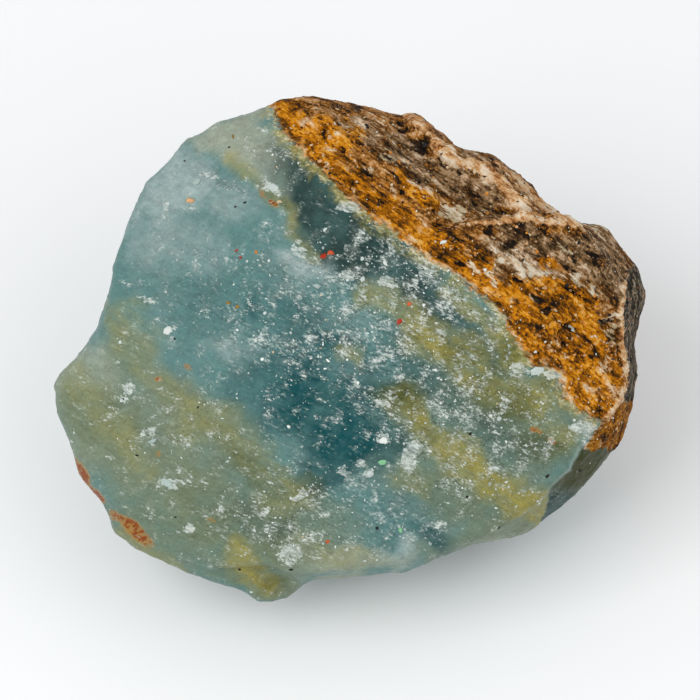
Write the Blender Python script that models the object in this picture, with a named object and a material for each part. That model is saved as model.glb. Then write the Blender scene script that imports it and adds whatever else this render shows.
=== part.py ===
"""A rough lump of blue onyx, broken from a boulder, lying on a small flat spot.

The stone is shaped in its own face frame, in millimetres: u runs right and v runs up along the
big broken face, and w stands out of it. The face leans back when the stone lies on its flat spot.
"""

import math

import bmesh
import bpy
import numpy as np
from mathutils import Matrix, Vector, noise

# Driving dimensions, in millimetres and degrees
MM = 0.001
FACE_LEAN = 55.0
REST_DEPTH = 24.5
SOFT_EDGE = 0.45

# How finely the surface is cast, and the share of its triangles that is kept
CELLS = 90
KEPT_SHARE = 0.097
FARTHEST = 60.0
HALVINGS = 30
SIDE_STEPS = 12
DEGREES = np.arange(360.0)

# The stone's outline seen square on to the face, as corners (u, v)
OUTLINE = (
    (-32.7, -3.9), (-31.9, -2.2), (-29.5, 0.0), (-27.7, 2.5), (-26.8, 5.5), (-25.7, 10.1),
    (-24.4, 14.4), (-22.5, 18.8), (-20.2, 20.8), (-18.1, 23.2), (-16.2, 23.8), (-14.9, 25.1),
    (-10.5, 26.1), (-7.7, 27.4), (-4.8, 27.9), (2.2, 26.8), (5.3, 25.8), (7.6, 25.9),
    (9.8, 24.0), (12.3, 21.8), (15.9, 21.6), (20.1, 18.2), (21.1, 16.5), (24.5, 14.0),
    (28.2, 13.4), (31.9, 9.2), (32.7, 6.4), (31.5, 1.0), (31.6, -3.0), (31.2, -6.2),
    (30.0, -10.3), (27.0, -13.5), (24.0, -16.9), (19.7, -20.2), (15.7, -21.1), (13.8, -21.3),
    (6.2, -24.3), (2.2, -24.9), (-2.2, -25.1), (-4.4, -25.4), (-7.0, -27.5), (-9.9, -27.9),
    (-12.1, -26.4), (-15.0, -25.6), (-22.6, -22.2), (-25.7, -20.2), (-27.1, -16.9),
    (-29.9, -13.6), (-30.5, -10.8), (-32.0, -7.2),
)

# The rim, where the outline lies in depth, by bearing round the face: its height, and how fast
# the walls draw in above and below it
RIM_BEARINGS = (-180, -150, -118, -104, -92, -70, -45, -15, 10, 40, 75, 105, 140, 165)
RIM_HEIGHTS = (1.5, 1.5, 1.5, -3.0, 0.0, 0.5, -5.0, -8.0, -8.0, -9.0, -5.0, 1.5, 1.0, 1.5)
WALL_TAPERS = (0.55, 0.42, 0.50, 0.36, 0.34, 0.42, 0.26, 0.22, 0.24, 0.30, 0.36, 0.48, 0.40, 0.52)
RIM_ROUND = 1.0
RIM_GAIN = 0.12

# The outline's corners reach this far up and down the walls, and relief fades this near the rim
CORNER_REACH = 4.5
RELIEF_FADE = 2.5
SMOOTHED_OVER = 20.0

# The broken facets: the way each one faces (u, v, w) and its distance from the middle
FRONT_FACETS = (
    ((0.02, -0.03, 1.0), 10.0),
    ((-0.28, 0.02, 1.0), 12.6),
    ((0.24, -0.34, 1.0), 13.4),
    ((-0.08, -0.30, 1.0), 13.2),
    ((-0.46, 0.36, 1.0), 18.2),
    ((0.02, 0.34, 1.0), 16.8),
)
BACK_FACETS = (
    ((0.05, 0.50, -0.86), 19.6),
    ((-0.62, 0.10, -0.78), 20.8),
    ((0.60, -0.05, -0.80), 27.0),
    ((0.05, -0.95, -0.30), 29.0),
    ((-0.55, -0.62, -0.56), 26.8),
    ((0.62, -0.58, -0.52), 28.8),
    ((-0.45, 0.68, -0.58), 25.8),
    ((0.50, 0.62, -0.60), 27.6),
    ((0.25, 0.90, -0.36), 27.4),
    ((-0.20, -0.40, -0.90), 25.0),
    ((0.38, -0.30, -0.87), 25.5),
)

# Steps in the blue face: the points along each edge, the drop on the right of its run, the
# half width of its edge and how far the drop reaches
STEPS = (
    (((-6.6, -18.7), (-4.4, -15.4), (0.0, -13.2), (3.9, -11.6)), 1.0, 0.7, 5.0),
    (((-12.5, 17.5), (-18.0, 20.1)), 0.7, 0.5, 4.0),
    (((-13.0, -13.0), (-18.0, -9.0), (-24.0, -7.5)), 0.8, 0.9, 6.0),
    (((-14.5, -24.8), (-9.5, -24.3), (-4.5, -26.0)), 3.2, 0.5, 5.0),
)

# The line where the blue face ends and the crust slopes away, upper left to lower right
CRUST_LINE = (
    (-11.0, 31.0), (-7.0, 23.5), (-0.3, 16.7), (4.3, 12.9), (13.8, 6.1), (19.9, -1.5),
    (24.8, -6.6), (32.0, -9.5),
)
CRUST_SLOPE = 0.62
CRUST_GROWN = 2.0

# Crests of the crust: the points along each one, its height and its half width
CRESTS = (
    (((6.3, 26.0), (10.3, 21.6), (13.6, 20.2), (17.3, 17.5), (18.6, 15.6)), 2.4, 1.2),
    (((16.5, 20.6), (21.1, 16.1)), 1.0, 0.9),
    (((-3.0, 25.0), (3.0, 20.8), (8.5, 15.5)), 1.0, 1.2),
    (((14.0, 9.5), (21.0, 7.0), (28.0, 5.0)), 0.8, 1.1),
    (((17.0, 5.0), (23.0, 2.6), (28.5, 0.5)), 0.7, 1.0),
)

# The ledge: the lower crust stands this much higher along this line, and fades over this length
LEDGE_LINE = ((8.5, 12.0), (13.2, 13.9), (19.1, 14.2), (24.8, 13.8), (33.0, 12.0))
LEDGE_HEIGHT = 2.6
LEDGE_EDGE = 0.45
LEDGE_FADE = 7.0

# Pits and hollows: middle (u, v), half length, half width, bearing of the long side, depth
PITS = (
    (5.7, 24.4, 1.4, 0.9, -45.0, 1.3),
    (7.6, 22.2, 2.6, 1.2, -42.0, 2.4),
    (14.8, 17.0, 4.0, 1.8, -38.0, 1.3),
    (1.5, 23.6, 3.0, 1.2, -40.0, 0.8),
    (22.5, -0.8, 2.4, 1.2, -20.0, 0.8),
    (-2.0, -14.0, 7.0, 5.0, 20.0, 0.7),
    (-14.0, 4.0, 9.0, 6.5, -35.0, 0.8),
    (8.0, -6.0, 8.0, 4.5, -38.0, 0.6),
)

# Rough relief over all: wave length and height of the lumps, width and depth of the scoops
LUMPS = ((11.0, 0.55), (5.0, 0.30))
SCOOPS = ((9.5, 2.0), (4.6, 0.8))
SCOOP_LEVEL = 0.3

# The share of the scoops that the blue face keeps, and the tilt at which a side has them all
FACE_SCOOP_SHARE = 0.2
SCOOP_TILT = 0.7
FRONT_SHARE = 1.6


def clear_scene():
    """Remove every object of the scene that the file opened with."""
    for obj in list(bpy.data.objects):
        bpy.data.objects.remove(obj, do_unlink=True)


def stone_material():
    """Blue-green stone, dull and slightly waxy."""
    material = bpy.data.materials.new("blue_onyx")
    material.use_nodes = True
    shader = material.node_tree.nodes["Principled BSDF"]
    shader.inputs["Base Color"].default_value = (0.16, 0.28, 0.28, 1.0)
    shader.inputs["Roughness"].default_value = 0.6
    shader.inputs["Metallic"].default_value = 0.0
    return material


def soft_max(values, radius):
    """The largest of several arrays, rounded where two of them meet."""
    stack = np.stack(values)
    top = stack.max(axis=0)
    return top + radius * np.log(np.exp((stack - top) / radius).sum(axis=0))


def outline_radii():
    """Distance from the middle to the outline at each whole degree: its smooth part and the rest."""
    corners = np.array(OUTLINE + OUTLINE[:1])
    steps = np.linspace(0.0, 1.0, SIDE_STEPS, endpoint=False)[None, :, None]
    sides = corners[:-1, None] + steps * (corners[1:] - corners[:-1])[:, None]
    u, v = sides.reshape(-1, 2).T
    exact = np.interp(DEGREES, np.degrees(np.arctan2(v, u)), np.hypot(u, v), period=360.0)
    spread = np.exp(-((np.minimum(DEGREES, 360.0 - DEGREES) / SMOOTHED_OVER) ** 2))
    smooth = np.fft.irfft(np.fft.rfft(exact) * np.fft.rfft(spread / spread.sum()), len(DEGREES))
    return smooth, exact - smooth


def line_offset(u, v, points):
    """Distance to a line of points, and how far beside it: plus on the left, minus on the right."""
    nearest = np.full(u.shape, np.inf)
    beside = np.zeros(u.shape)
    for (au, av), (bu, bv) in zip(points[:-1], points[1:]):
        run = np.array((bu - au, bv - av))
        length = math.hypot(*run)
        along = ((u - au) * run[0] + (v - av) * run[1]) / length ** 2
        along = np.clip(along, 0.0, 1.0)
        du = u - au - along * run[0]
        dv = v - av - along * run[1]
        distance = np.hypot(du, dv)
        closer = distance < nearest
        nearest = np.where(closer, distance, nearest)
        beside = np.where(closer, (run[0] * dv - run[1] * du) / length, beside)
    return nearest, beside


def stepped(u, v):
    """Drop of the face beyond the edges of its steps, fading away from each one."""
    drop = np.zeros(u.shape)
    for points, height, edge, fade in STEPS:
        distance, beside = line_offset(u, v, points)
        fallen = 0.5 - 0.5 * np.tanh(beside / edge)
        drop += height * fallen * np.exp(-((distance / fade) ** 2))
    return drop


def pitted(u, v):
    """Depth of the pits and hollows."""
    depth = np.zeros(u.shape)
    for pit_u, pit_v, half_length, half_width, bearing, deepest in PITS:
        turn = math.radians(bearing)
        along = (u - pit_u) * math.cos(turn) + (v - pit_v) * math.sin(turn)
        across = (v - pit_v) * math.cos(turn) - (u - pit_u) * math.sin(turn)
        depth += deepest * np.exp(-((along / half_length) ** 2) - (across / half_width) ** 2)
    return depth


def crust_relief(u, v):
    """Crests and ledge of the crust, as a height over its slope."""
    relief = np.zeros(u.shape)
    for points, height, width in CRESTS:
        distance, _ = line_offset(u, v, points)
        relief += height * np.exp(-((distance / width) ** 2))
    distance, above = line_offset(u, v, LEDGE_LINE)
    raised = 0.5 - 0.5 * np.tanh(above / LEDGE_EDGE)
    return relief + LEDGE_HEIGHT * raised * np.exp(-distance / LEDGE_FADE)


def beyond_crust_line(u, v):
    """How far points lie on the crust's side of the line where it starts."""
    distance, beside = line_offset(u, v, CRUST_LINE)
    return np.where(beside > 0.0, distance, 0.0)


def face_height(u, v):
    """Height of the front over the middle plane: the blue face, and the crust that slopes off it."""
    facets = [facing[0] * u + facing[1] * v - reach for facing, reach in FRONT_FACETS]
    return -soft_max(facets, SOFT_EDGE) - CRUST_SLOPE * beyond_crust_line(u, v)


def front_relief(u, v):
    """Relief of the front, out from its facets: the crust's crests and ledge, steps and pits."""
    grown = 1.0 - np.exp(-beyond_crust_line(u, v) / CRUST_GROWN)
    return grown * crust_relief(u, v) - stepped(u, v) - pitted(u, v)


def over_rim(points):
    """Bearing of each point round the face, and its height over the rim there."""
    u, v, w = points.T
    bearing = np.degrees(np.arctan2(v, u))
    return bearing, w - np.interp(bearing, RIM_BEARINGS, RIM_HEIGHTS, period=360.0)


def outside(points, smooth, corners):
    """How far points lie outside the stone, about, in millimetres: minus is inside."""
    u, v, w = points.T
    bearing, height = over_rim(points)
    taper = np.interp(bearing, RIM_BEARINGS, WALL_TAPERS, period=360.0)
    drawn_in = taper * (np.hypot(height, RIM_ROUND) - RIM_ROUND)
    cornered = np.interp(bearing, DEGREES, corners, period=360.0)
    cornered *= np.exp(-((height / CORNER_REACH) ** 2))
    radius = np.interp(bearing, DEGREES, smooth, period=360.0) + cornered + RIM_GAIN
    surfaces = [w - face_height(u, v), np.hypot(u, v) - radius + drawn_in]
    for facing, reach in BACK_FACETS:
        surfaces.append(points @ np.array(facing) - reach)
    return soft_max(surfaces, SOFT_EDGE)


def cast(directions):
    """The point on the surface in each direction from the middle, found by halving."""
    smooth, corners = outline_radii()
    near = np.zeros(len(directions))
    far = np.full(len(directions), FARTHEST)
    for _ in range(HALVINGS):
        middle = (near + far) / 2.0
        beyond = outside(directions * middle[:, None], smooth, corners) > 0.0
        far = np.where(beyond, middle, far)
        near = np.where(beyond, near, middle)
    return directions * near[:, None]


def relief_heights(points, normals):
    """All relief out from the facets: fading to none at the rim, so that the outline stays true."""
    facing = np.clip(normals[:, 2] * FRONT_SHARE, 0.0, 1.0)
    heights = facing * front_relief(points[:, 0], points[:, 1])
    for index, point in enumerate(points):
        place = Vector(point)
        for wave, size in LUMPS:
            heights[index] += size * noise.noise(place / wave)
        share = np.clip(SCOOP_TILT - normals[index][2], FACE_SCOOP_SHARE, 1.0)
        for width, depth in SCOOPS:
            nearest = noise.voronoi(place / width)[0][0]
            heights[index] += share * depth * (nearest ** 2 - SCOOP_LEVEL)
    _, height = over_rim(points)
    return heights * (1.0 - np.exp(-((height / RELIEF_FADE) ** 2)))


def stone_mesh():
    """A block of small cells, cast outwards onto the stone's surface and laid on its flat spot."""
    mesh = bpy.data.meshes.new("rough_stone")
    form = bmesh.new()
    bmesh.ops.create_cube(form, size=2.0)
    bmesh.ops.subdivide_edges(form, edges=form.edges[:], cuts=CELLS - 1, use_grid_fill=True)
    spread = [Vector([math.tan(c * math.pi / 4.0) for c in vert.co]) for vert in form.verts]
    points = cast(np.array([direction.normalized() for direction in spread]))
    for vert, place in zip(form.verts, points):
        vert.co = place
    form.normal_update()
    normals = np.array([vert.normal for vert in form.verts])
    points = points + normals * relief_heights(points, normals)[:, None]
    turn = Matrix.Rotation(math.radians(90.0 - FACE_LEAN), 3, "X")
    for vert, place in zip(form.verts, points):
        vert.co = turn @ Vector(place)
        vert.co.z = max(vert.co.z, -REST_DEPTH)
    bmesh.ops.recalc_face_normals(form, faces=form.faces[:])
    form.to_mesh(mesh)
    form.free()
    return mesh


def stand_on_origin(mesh):
    """Move the mesh so that the middle of its box's underside is at the origin, in metres."""
    corners = np.array([vert.co for vert in mesh.vertices])
    low = corners.min(axis=0)
    high = corners.max(axis=0)
    middle = Vector(((low[0] + high[0]) / 2.0, (low[1] + high[1]) / 2.0, low[2]))
    mesh.transform(Matrix.Scale(MM, 4) @ Matrix.Translation(-middle))


def main():
    """Build the stone in a collection of its own."""
    clear_scene()
    collection = bpy.data.collections.new("rough_blue_onyx")
    bpy.context.scene.collection.children.link(collection)
    mesh = stone_mesh()
    stand_on_origin(mesh)
    mesh.materials.append(stone_material())
    stone = bpy.data.objects.new("rough_stone", mesh)
    collection.objects.link(stone)
    thinned = stone.modifiers.new("thinned", "DECIMATE")
    thinned.ratio = KEPT_SHARE
    thinned.use_collapse_triangulate = True


main()
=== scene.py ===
"""Rough blue onyx: a broken lump of cloudy blue-green stone with its weathered crust.

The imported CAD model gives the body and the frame. This script copies the body's mesh,
refines it, carves the small relief in it, sets loose chips and grains in its surface and
dresses both with node materials. Face frame: millimetres along the blue face, u to the
right, v up the face and w out of it.
"""

import logging
import math
from collections.abc import Mapping
from dataclasses import dataclass, field
from enum import Enum
from typing import ClassVar

import bmesh
import bpy
import numpy as np
from mathutils import Matrix, Vector


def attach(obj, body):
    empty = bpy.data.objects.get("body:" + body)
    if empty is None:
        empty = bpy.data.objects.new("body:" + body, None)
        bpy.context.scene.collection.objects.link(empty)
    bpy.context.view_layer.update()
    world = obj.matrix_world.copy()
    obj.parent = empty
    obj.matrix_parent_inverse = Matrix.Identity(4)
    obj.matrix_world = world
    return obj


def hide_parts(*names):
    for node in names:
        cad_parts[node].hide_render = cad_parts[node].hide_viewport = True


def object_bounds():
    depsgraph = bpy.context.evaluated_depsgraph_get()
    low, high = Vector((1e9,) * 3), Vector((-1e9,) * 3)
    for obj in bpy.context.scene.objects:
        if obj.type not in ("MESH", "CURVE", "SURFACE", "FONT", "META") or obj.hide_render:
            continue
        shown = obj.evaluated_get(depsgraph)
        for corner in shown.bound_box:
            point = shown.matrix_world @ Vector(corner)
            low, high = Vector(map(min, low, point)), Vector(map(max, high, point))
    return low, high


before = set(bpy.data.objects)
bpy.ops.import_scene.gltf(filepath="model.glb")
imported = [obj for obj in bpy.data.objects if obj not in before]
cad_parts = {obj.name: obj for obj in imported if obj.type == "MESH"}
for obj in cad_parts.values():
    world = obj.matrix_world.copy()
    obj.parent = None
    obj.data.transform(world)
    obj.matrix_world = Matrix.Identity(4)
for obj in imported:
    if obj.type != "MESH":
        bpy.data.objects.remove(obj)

CAD_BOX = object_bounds()
BODY = "root"
NODE = "rough_stone"
MM = 0.001
BOX_MARGIN = 2e-6

Array = np.ndarray
Rows = tuple[tuple[float, ...], ...]
Line = tuple[tuple[float, float], ...]
Runs = tuple[tuple[Line, float, float], ...]
Colour = tuple[float, float, float, float]
Stops = tuple[tuple[float, Colour], ...]

log = logging.getLogger("rough_blue_onyx")


def paint(red: int, green: int, blue: int) -> Colour:
    """Turn a display colour into the linear colour that a shader takes.

    Args:
        red: Red from 0 to 255.
        green: Green from 0 to 255.
        blue: Blue from 0 to 255.

    Returns:
        The linear colour with full alpha.
    """
    shares = [part / 255 for part in (red, green, blue)]
    linear = [s / 12.92 if s <= 0.04045 else ((s + 0.055) / 1.055) ** 2.4 for s in shares]
    return (linear[0], linear[1], linear[2], 1.0)


def shades(*rows: tuple[float, int, int, int]) -> Stops:
    """Turn places and display colours into a ramp's stops."""
    return tuple((place, paint(*colour)) for place, *colour in rows)


def ramp(values: Array, low: float, high: float) -> Array:
    """Rise smoothly from 0 at low to 1 at high.

    Args:
        values: The values to read.
        low: Where the rise starts.
        high: Where it ends, which may be below low for a fall.

    Returns:
        The eased shares, one for each value.
    """
    share = np.clip((values - low) / (high - low), 0, 1)
    return share * share * (3 - 2 * share)


def level(waves: Array) -> Array:
    """Bring soft waves about 0 to the span of a shader's noise, about a half."""
    return 0.5 + 0.3 * waves


def in_box(points: Array) -> Array:
    """Hold points, in metres, just inside the CAD box."""
    low, high = (np.array(corner) for corner in CAD_BOX)
    return np.clip(points, low + BOX_MARGIN, high - BOX_MARGIN)


@dataclass(frozen=True)
class FaceFrame:
    """Where the blue face lies in the part's own frame.

    Attributes:
        lean: Turn of the face about the long axis, in degrees.
        origin: The middle of the face in metres.
    """

    lean: float = 35.0
    origin: tuple[float, float, float] = (0.0, -0.001302, 0.0245)

    def turn(self) -> Array:
        """Give the matrix whose columns are the face's own axes."""
        return np.array(Matrix.Rotation(math.radians(self.lean), 3, "X"))

    def inward(self, points: Array) -> Array:
        """Take points in metres to the face frame in millimetres."""
        return (points - np.array(self.origin)) @ self.turn() / MM


FACE = FaceFrame()


@dataclass
class Noise:
    """Seeded noise, worked out for all points at once.

    A number added to the points moves to another stretch of the same noise, so that no two
    uses of it look alike.

    Attributes:
        seed: The seed that fixes it.
        order: A shuffled table that gives each cell its entry.
        slopes: Each entry's direction, for the waves.
        places: Each entry's centre within its cell, for the scattered cells.
    """

    seed: int
    order: Array = field(init=False)
    slopes: Array = field(init=False)
    places: Array = field(init=False)

    ENTRIES: ClassVar[int] = 256
    WAVE_GAIN: ClassVar[float] = 1.6
    LAYER_SHIFT: ClassVar[float] = 17.3
    CREST_SHIFT: ClassVar[float] = 31.7
    CREST_MEAN: ClassVar[float] = 0.62

    def __post_init__(self) -> None:
        """Draw the tables from the seed."""
        maker = np.random.default_rng(self.seed)
        self.order = maker.permutation(self.ENTRIES)
        slopes = maker.normal(size=(self.ENTRIES, 3))
        self.slopes = slopes / np.linalg.norm(slopes, axis=1, keepdims=True)
        self.places = maker.random((self.ENTRIES, 3))

    def _entry(self, cell: Array) -> Array:
        """Give the table entry of each whole-number cell.

        Args:
            cell: The cells' places along x, y and z.

        Returns:
            One entry for each cell.
        """
        last = self.ENTRIES - 1
        first = self.order[cell[:, 0] & last]
        second = self.order[(first + cell[:, 1]) & last]
        return self.order[(second + cell[:, 2]) & last]

    def waves(self, points: Array, size: float = 1.0) -> Array:
        """Give soft waves between about -1 and 1.

        Args:
            points: The points to read.
            size: Width of a wave, in the points' own unit.

        Returns:
            One height for each point.
        """
        at = points / size
        cell = np.floor(at).astype(int)
        inside = at - cell
        ease = inside**3 * (inside * (inside * 6 - 15) + 10)
        total = np.zeros(len(points))
        for corner in np.ndindex(2, 2, 2):
            step = np.array(corner)
            weight = np.prod(np.where(step == 1, ease, 1 - ease), axis=1)
            slope = self.slopes[self._entry(cell + step)]
            total += weight * np.einsum("ij,ij->i", slope, inside - step)
        return total * self.WAVE_GAIN

    def layered(self, points: Array, size: float, layers: int = 4, keep: float = 0.5) -> Array:
        """Give waves with finer and finer waves on them.

        Args:
            points: The points to read.
            size: Width of the widest wave.
            layers: How many sizes of wave.
            keep: Strength of each next layer beside the last.

        Returns:
            One height for each point, mostly between -1 and 1.
        """
        total = np.zeros(len(points))
        strength = 1.0
        for layer in range(layers):
            total += strength * self.waves(points + self.LAYER_SHIFT * layer, size / 2**layer)
            strength *= keep
        return total

    def ridged(self, points: Array, layers: int = 3) -> Array:
        """Give sharp crests with soft valleys, one unit wide.

        Args:
            points: The points to read.
            layers: How many sizes of crest.

        Returns:
            One height for each point, from 0 to about 1.
        """
        total = np.zeros(len(points))
        for layer in range(layers):
            crest = 1 - np.abs(self.waves(points + self.CREST_SHIFT * layer, 0.5**layer))
            total += 0.5**layer * crest
        return total / 2

    def cells(self, points: Array, size: float) -> tuple[Array, Array]:
        """Split space into cells round scattered centres.

        Args:
            points: The points to read.
            size: Mean width of a cell.

        Returns:
            The distance to the nearest centre and to the next one, in cell widths.
        """
        at = points / size
        cell = np.floor(at).astype(int)
        near = np.full(len(points), np.inf)
        after = np.full(len(points), np.inf)
        for corner in np.ndindex(3, 3, 3):
            there = cell + np.array(corner) - 1
            gap = np.linalg.norm(there + self.places[self._entry(there)] - at, axis=1)
            after = np.where(gap < near, near, np.minimum(after, gap))
            near = np.minimum(near, gap)
        return near, after


def along(points: Array, bearing: float, sizes: tuple[float, float, float]) -> Array:
    """Turn and stretch points, so that noise read there runs along a bearing.

    Args:
        points: Points in the face frame.
        bearing: Direction of the grain on the face, in degrees from u towards v.
        sizes: Length along the grain, width across it and depth into the stone.

    Returns:
        The points in those units.
    """
    turned = points @ np.array(Matrix.Rotation(math.radians(bearing), 3, "Z"))
    return turned / np.array(sizes)


class Zones:
    """Where the face's colours, bruises and crust markings lie, in millimetres on the face.

    An oval is (u, v, half length, half width, bearing, strength). A run is (points, half
    width, strength). An edge is the shares of the width between which the cover fades.
    """

    OVAL_EDGE = (0.45, 1.25)
    RUN_EDGE = (0.35, 1.7)

    # Pale frosted calcite, partly painted light: the rows at the top-left facet that faces the light, along
    # the thin bottom edge and at the left tip, where light shines through, paint that brightness in.
    FROST_AND_GLOW: Rows = (
        (-19.1, 18.7, 4.8, 3.3, 50, 1.0), (-22.0, 13.2, 4.4, 3.3, 60, 0.55),
        (-13.8, 16.5, 5.5, 2.9, -20, 0.45), (-4.8, 9.7, 3.5, 1.6, -25, 0.9),
        (-16.5, 11.0, 4.4, 4.4, 0, 0.4), (5.7, -22.4, 1.8, 1.8, 30, 0.7), (-5.5, -22.4, 2.9, 2.4, 60, 0.55),
        (0.0, -22.7, 6.6, 1.3, 0, 0.5), (13.2, -23.1, 6.6, 1.5, 10, 0.4), (-0.6, -1.8, 6.0, 0.9, -8, 0.35),
        (-30.2, -4.4, 2.2, 2.6, 60, 0.35), (3.9, 7.2, 1.8, 1.1, -30, 0.5), (-12.1, 0.0, 4.4, 1.5, -5, 0.35),
    )
    DEEP: Rows = (
        (-1.5, -6.0, 8.5, 5.8, -30, 0.82), (0.0, -8.2, 5.7, 3.7, 40, 0.8),
        (-5.5, -2.4, 6.6, 2.9, -15, 0.55), (-9.8, -5.4, 5.5, 3.4, -38, 0.5), (-1.6, 0.9, 2.9, 1.4, 0, 0.7),
        (-10.3, 4.4, 1.3, 1.6, 20, 0.8), (4.4, -10.4, 2.9, 2.2, 0, 0.5), (-2.2, -12.7, 4.4, 2.4, 35, 0.6),
        (-12.1, 5.5, 6.6, 4.4, 20, 0.2), (4.4, -2.4, 5.1, 2.4, -30, 0.5), (8.8, -20.4, 3.7, 1.1, -25, 0.5),
        (2.2, 12.1, 3.7, 2.0, -50, 0.6), (-16.5, 5.5, 5.5, 4.4, 0, 0.1), (7.2, -17.1, 5.5, 2.9, 0, 0.12),
        (-6.6, 3.4, 5.5, 3.3, -10, 0.45),
    )
    SLATE: Rows = (
        (-3.5, 15.6, 7.4, 3.5, -50, 1.0), (0.4, 12.1, 5.2, 3.8, -48, 1.0), (1.4, 10.3, 4.4, 2.6, -35, 0.8),
        (5.5, 9.3, 4.8, 2.4, -35, 0.8), (8.8, 5.5, 5.9, 2.6, -30, 0.75), (11.0, 1.6, 5.5, 2.6, -30, 0.6),
        (-5.7, 19.6, 4.4, 1.5, -50, 0.5), (7.7, 0.0, 4.4, 2.6, -30, 0.4), (13.2, -8.8, 5.5, 2.4, -30, 0.2),
        (17.1, -9.9, 5.1, 1.8, -35, 0.3), (9.9, -3.9, 4.4, 2.2, -20, 0.4), (16.5, 1.1, 3.3, 1.8, -35, 0.4),
        (-9.7, -18.7, 4.4, 2.2, -30, 0.3),
    )
    OLIVE: Rows = (
        (17.6, 0.4, 1.9, 1.6, -40, 0.7), (20.7, -9.7, 1.5, 0.8, -20, 0.8), (5.4, -5.4, 3.5, 2.4, -30, 0.8),
        (-14.5, -18.0, 5.0, 2.2, -30, 0.22), (-8.6, 16.6, 2.2, 0.8, -48, 0.7),
        (22.3, -10.4, 1.1, 0.6, -20, 0.5), (16.5, -5.7, 4.2, 2.4, -25, 0.6),
        (-9.0, -25.9, 2.2, 1.1, 20, 0.4), (-10.4, -13.0, 4.2, 1.6, -40, 0.42),
        (20.9, -11.0, 3.3, 2.4, -30, 0.5), (14.4, -1.6, 5.5, 2.2, -35, 0.6),
        (15.0, 3.3, 2.2, 0.8, -38, 0.5), (21.6, -4.4, 2.6, 1.1, -20, 0.45),
        (-4.8, -14.8, 3.3, 1.3, -40, 0.4), (8.6, -9.2, 1.6, 0.9, -40, 0.5),
    )
    MOSS: Rows = (
        (-27.5, -7.7, 6.6, 5.5, -50, 0.9), (-19.8, -14.3, 8.8, 5.1, -35, 1.0),
        (-12.1, -20.9, 8.8, 4.4, -25, 0.9), (-18.0, -12.5, 14.0, 8.5, -35, 0.55),
        (13.0, -11.5, 14.0, 9.0, -30, 0.55), (-6.0, -19.5, 9.0, 4.5, -10, 0.55),
        (-22.5, -20.5, 8.0, 3.2, -35, 0.7), (-24.2, 0.0, 4.4, 2.9, -60, 0.7),
        (-5.5, -17.6, 5.1, 2.9, -40, 0.6), (-16.5, -7.7, 6.6, 3.3, -35, 0.7),
        (13.2, -16.5, 6.6, 3.7, -30, 0.6), (20.9, -9.9, 4.8, 4.0, -35, 0.7),
        (18.7, -18.7, 5.5, 2.4, 15, 0.7), (14.3, -4.4, 5.5, 2.6, -30, 0.5),
        (23.1, -5.5, 3.7, 2.2, -30, 0.6), (-8.2, -26.4, 3.7, 1.8, 10, 0.9),
        (12.1, -21.4, 6.6, 1.5, 12, 0.6), (7.7, -13.2, 4.4, 2.9, -30, 0.5),
    )
    SAGE: Rows = (
        (-11.0, 22.6, 5.9, 2.9, -25, 1.0), (-14.8, 24.4, 3.7, 1.5, 15, 0.7),
        (-8.2, 19.2, 4.4, 2.0, -45, 0.8), (-11.6, 25.5, 4.4, 1.1, 15, 0.8),
        (-28.6, -3.3, 5.0, 3.6, 50, 0.95), (-29.3, -9.9, 2.6, 5.0, 0, 0.7),
        (16.5, -21.0, 6.6, 1.8, 15, 0.8), (0.0, -23.4, 6.6, 1.6, 0, 0.9), (-6.0, -23.6, 2.6, 1.3, 0, 0.6),
        (23.1, -5.0, 3.3, 1.8, -20, 0.4), (-22.0, -10.0, 9.0, 6.0, -40, 0.45),
        (-8.2, -26.2, 3.7, 1.6, 10, 0.4), (25.9, -8.8, 2.2, 1.5, -40, 0.7),
    )
    STRAW: Runs = (
        (((-11.2, 19.6), (-9.7, 17.6), (-7.3, 15.2), (-5.5, 13.0), (-3.7, 10.8)), 0.8, 0.5),
        (((2.8, 6.2), (5.3, 4.6), (7.5, 3.1)), 1.3, 0.6),
        (((10.2, 7.2), (13.6, 3.9), (16.0, 1.6), (18.4, -2.6)), 0.9, 0.65),
        (((-0.4, -0.2), (1.3, -0.7)), 0.8, 0.5),
        (((8.2, 1.5), (12.3, -0.2), (13.9, -2.6), (16.5, -4.4), (19.8, -5.5)), 1.8, 0.85),
        (((15.6, 2.0), (17.4, 0.0), (18.7, -1.3)), 1.3, 0.75),
        (((5.1, -5.7), (8.2, -8.8), (11.2, -11.2), (13.6, -13.2), (17.1, -15.2), (21.3, -17.8)), 1.55, 1.0),
        (((-26.4, 5.5), (-25.5, 2.6), (-24.9, 0.4)), 1.0, 0.4),
        (((-24.0, 5.0), (-22.4, 0.6), (-21.3, -3.1), (-16.9, -8.1)), 1.6, 0.26),
        (((-16.9, -8.1), (-13.0, -7.7), (-9.7, -12.3), (-7.3, -16.1)), 2.0, 0.34),
        (((-12.3, -21.8), (-10.8, -24.2), (-9.2, -26.6)), 1.2, 0.85),
        (((-29.5, -3.5), (-27.5, -5.9), (-26.2, -8.8)), 1.6, 0.3),
        (((-24.2, -10.4), (-22.0, -13.2)), 1.3, 0.4),
        (((-13.0, 21.4), (-11.0, 19.6)), 1.0, 0.4),
        (((-5.5, -20.9), (-2.2, -22.7), (1.1, -23.1)), 1.3, 0.3),
        (((20.9, -7.7), (23.1, -9.9)), 1.1, 0.45),
        (((5.5, -13.2), (8.8, -15.4)), 1.1, 0.3),
        (((-7.2, -13.2), (-5.5, -16.5)), 1.0, 0.4),
        (((-25.3, -20.0), (-22.0, -22.2), (-18.7, -23.8)), 0.9, 0.5),
    )
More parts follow.
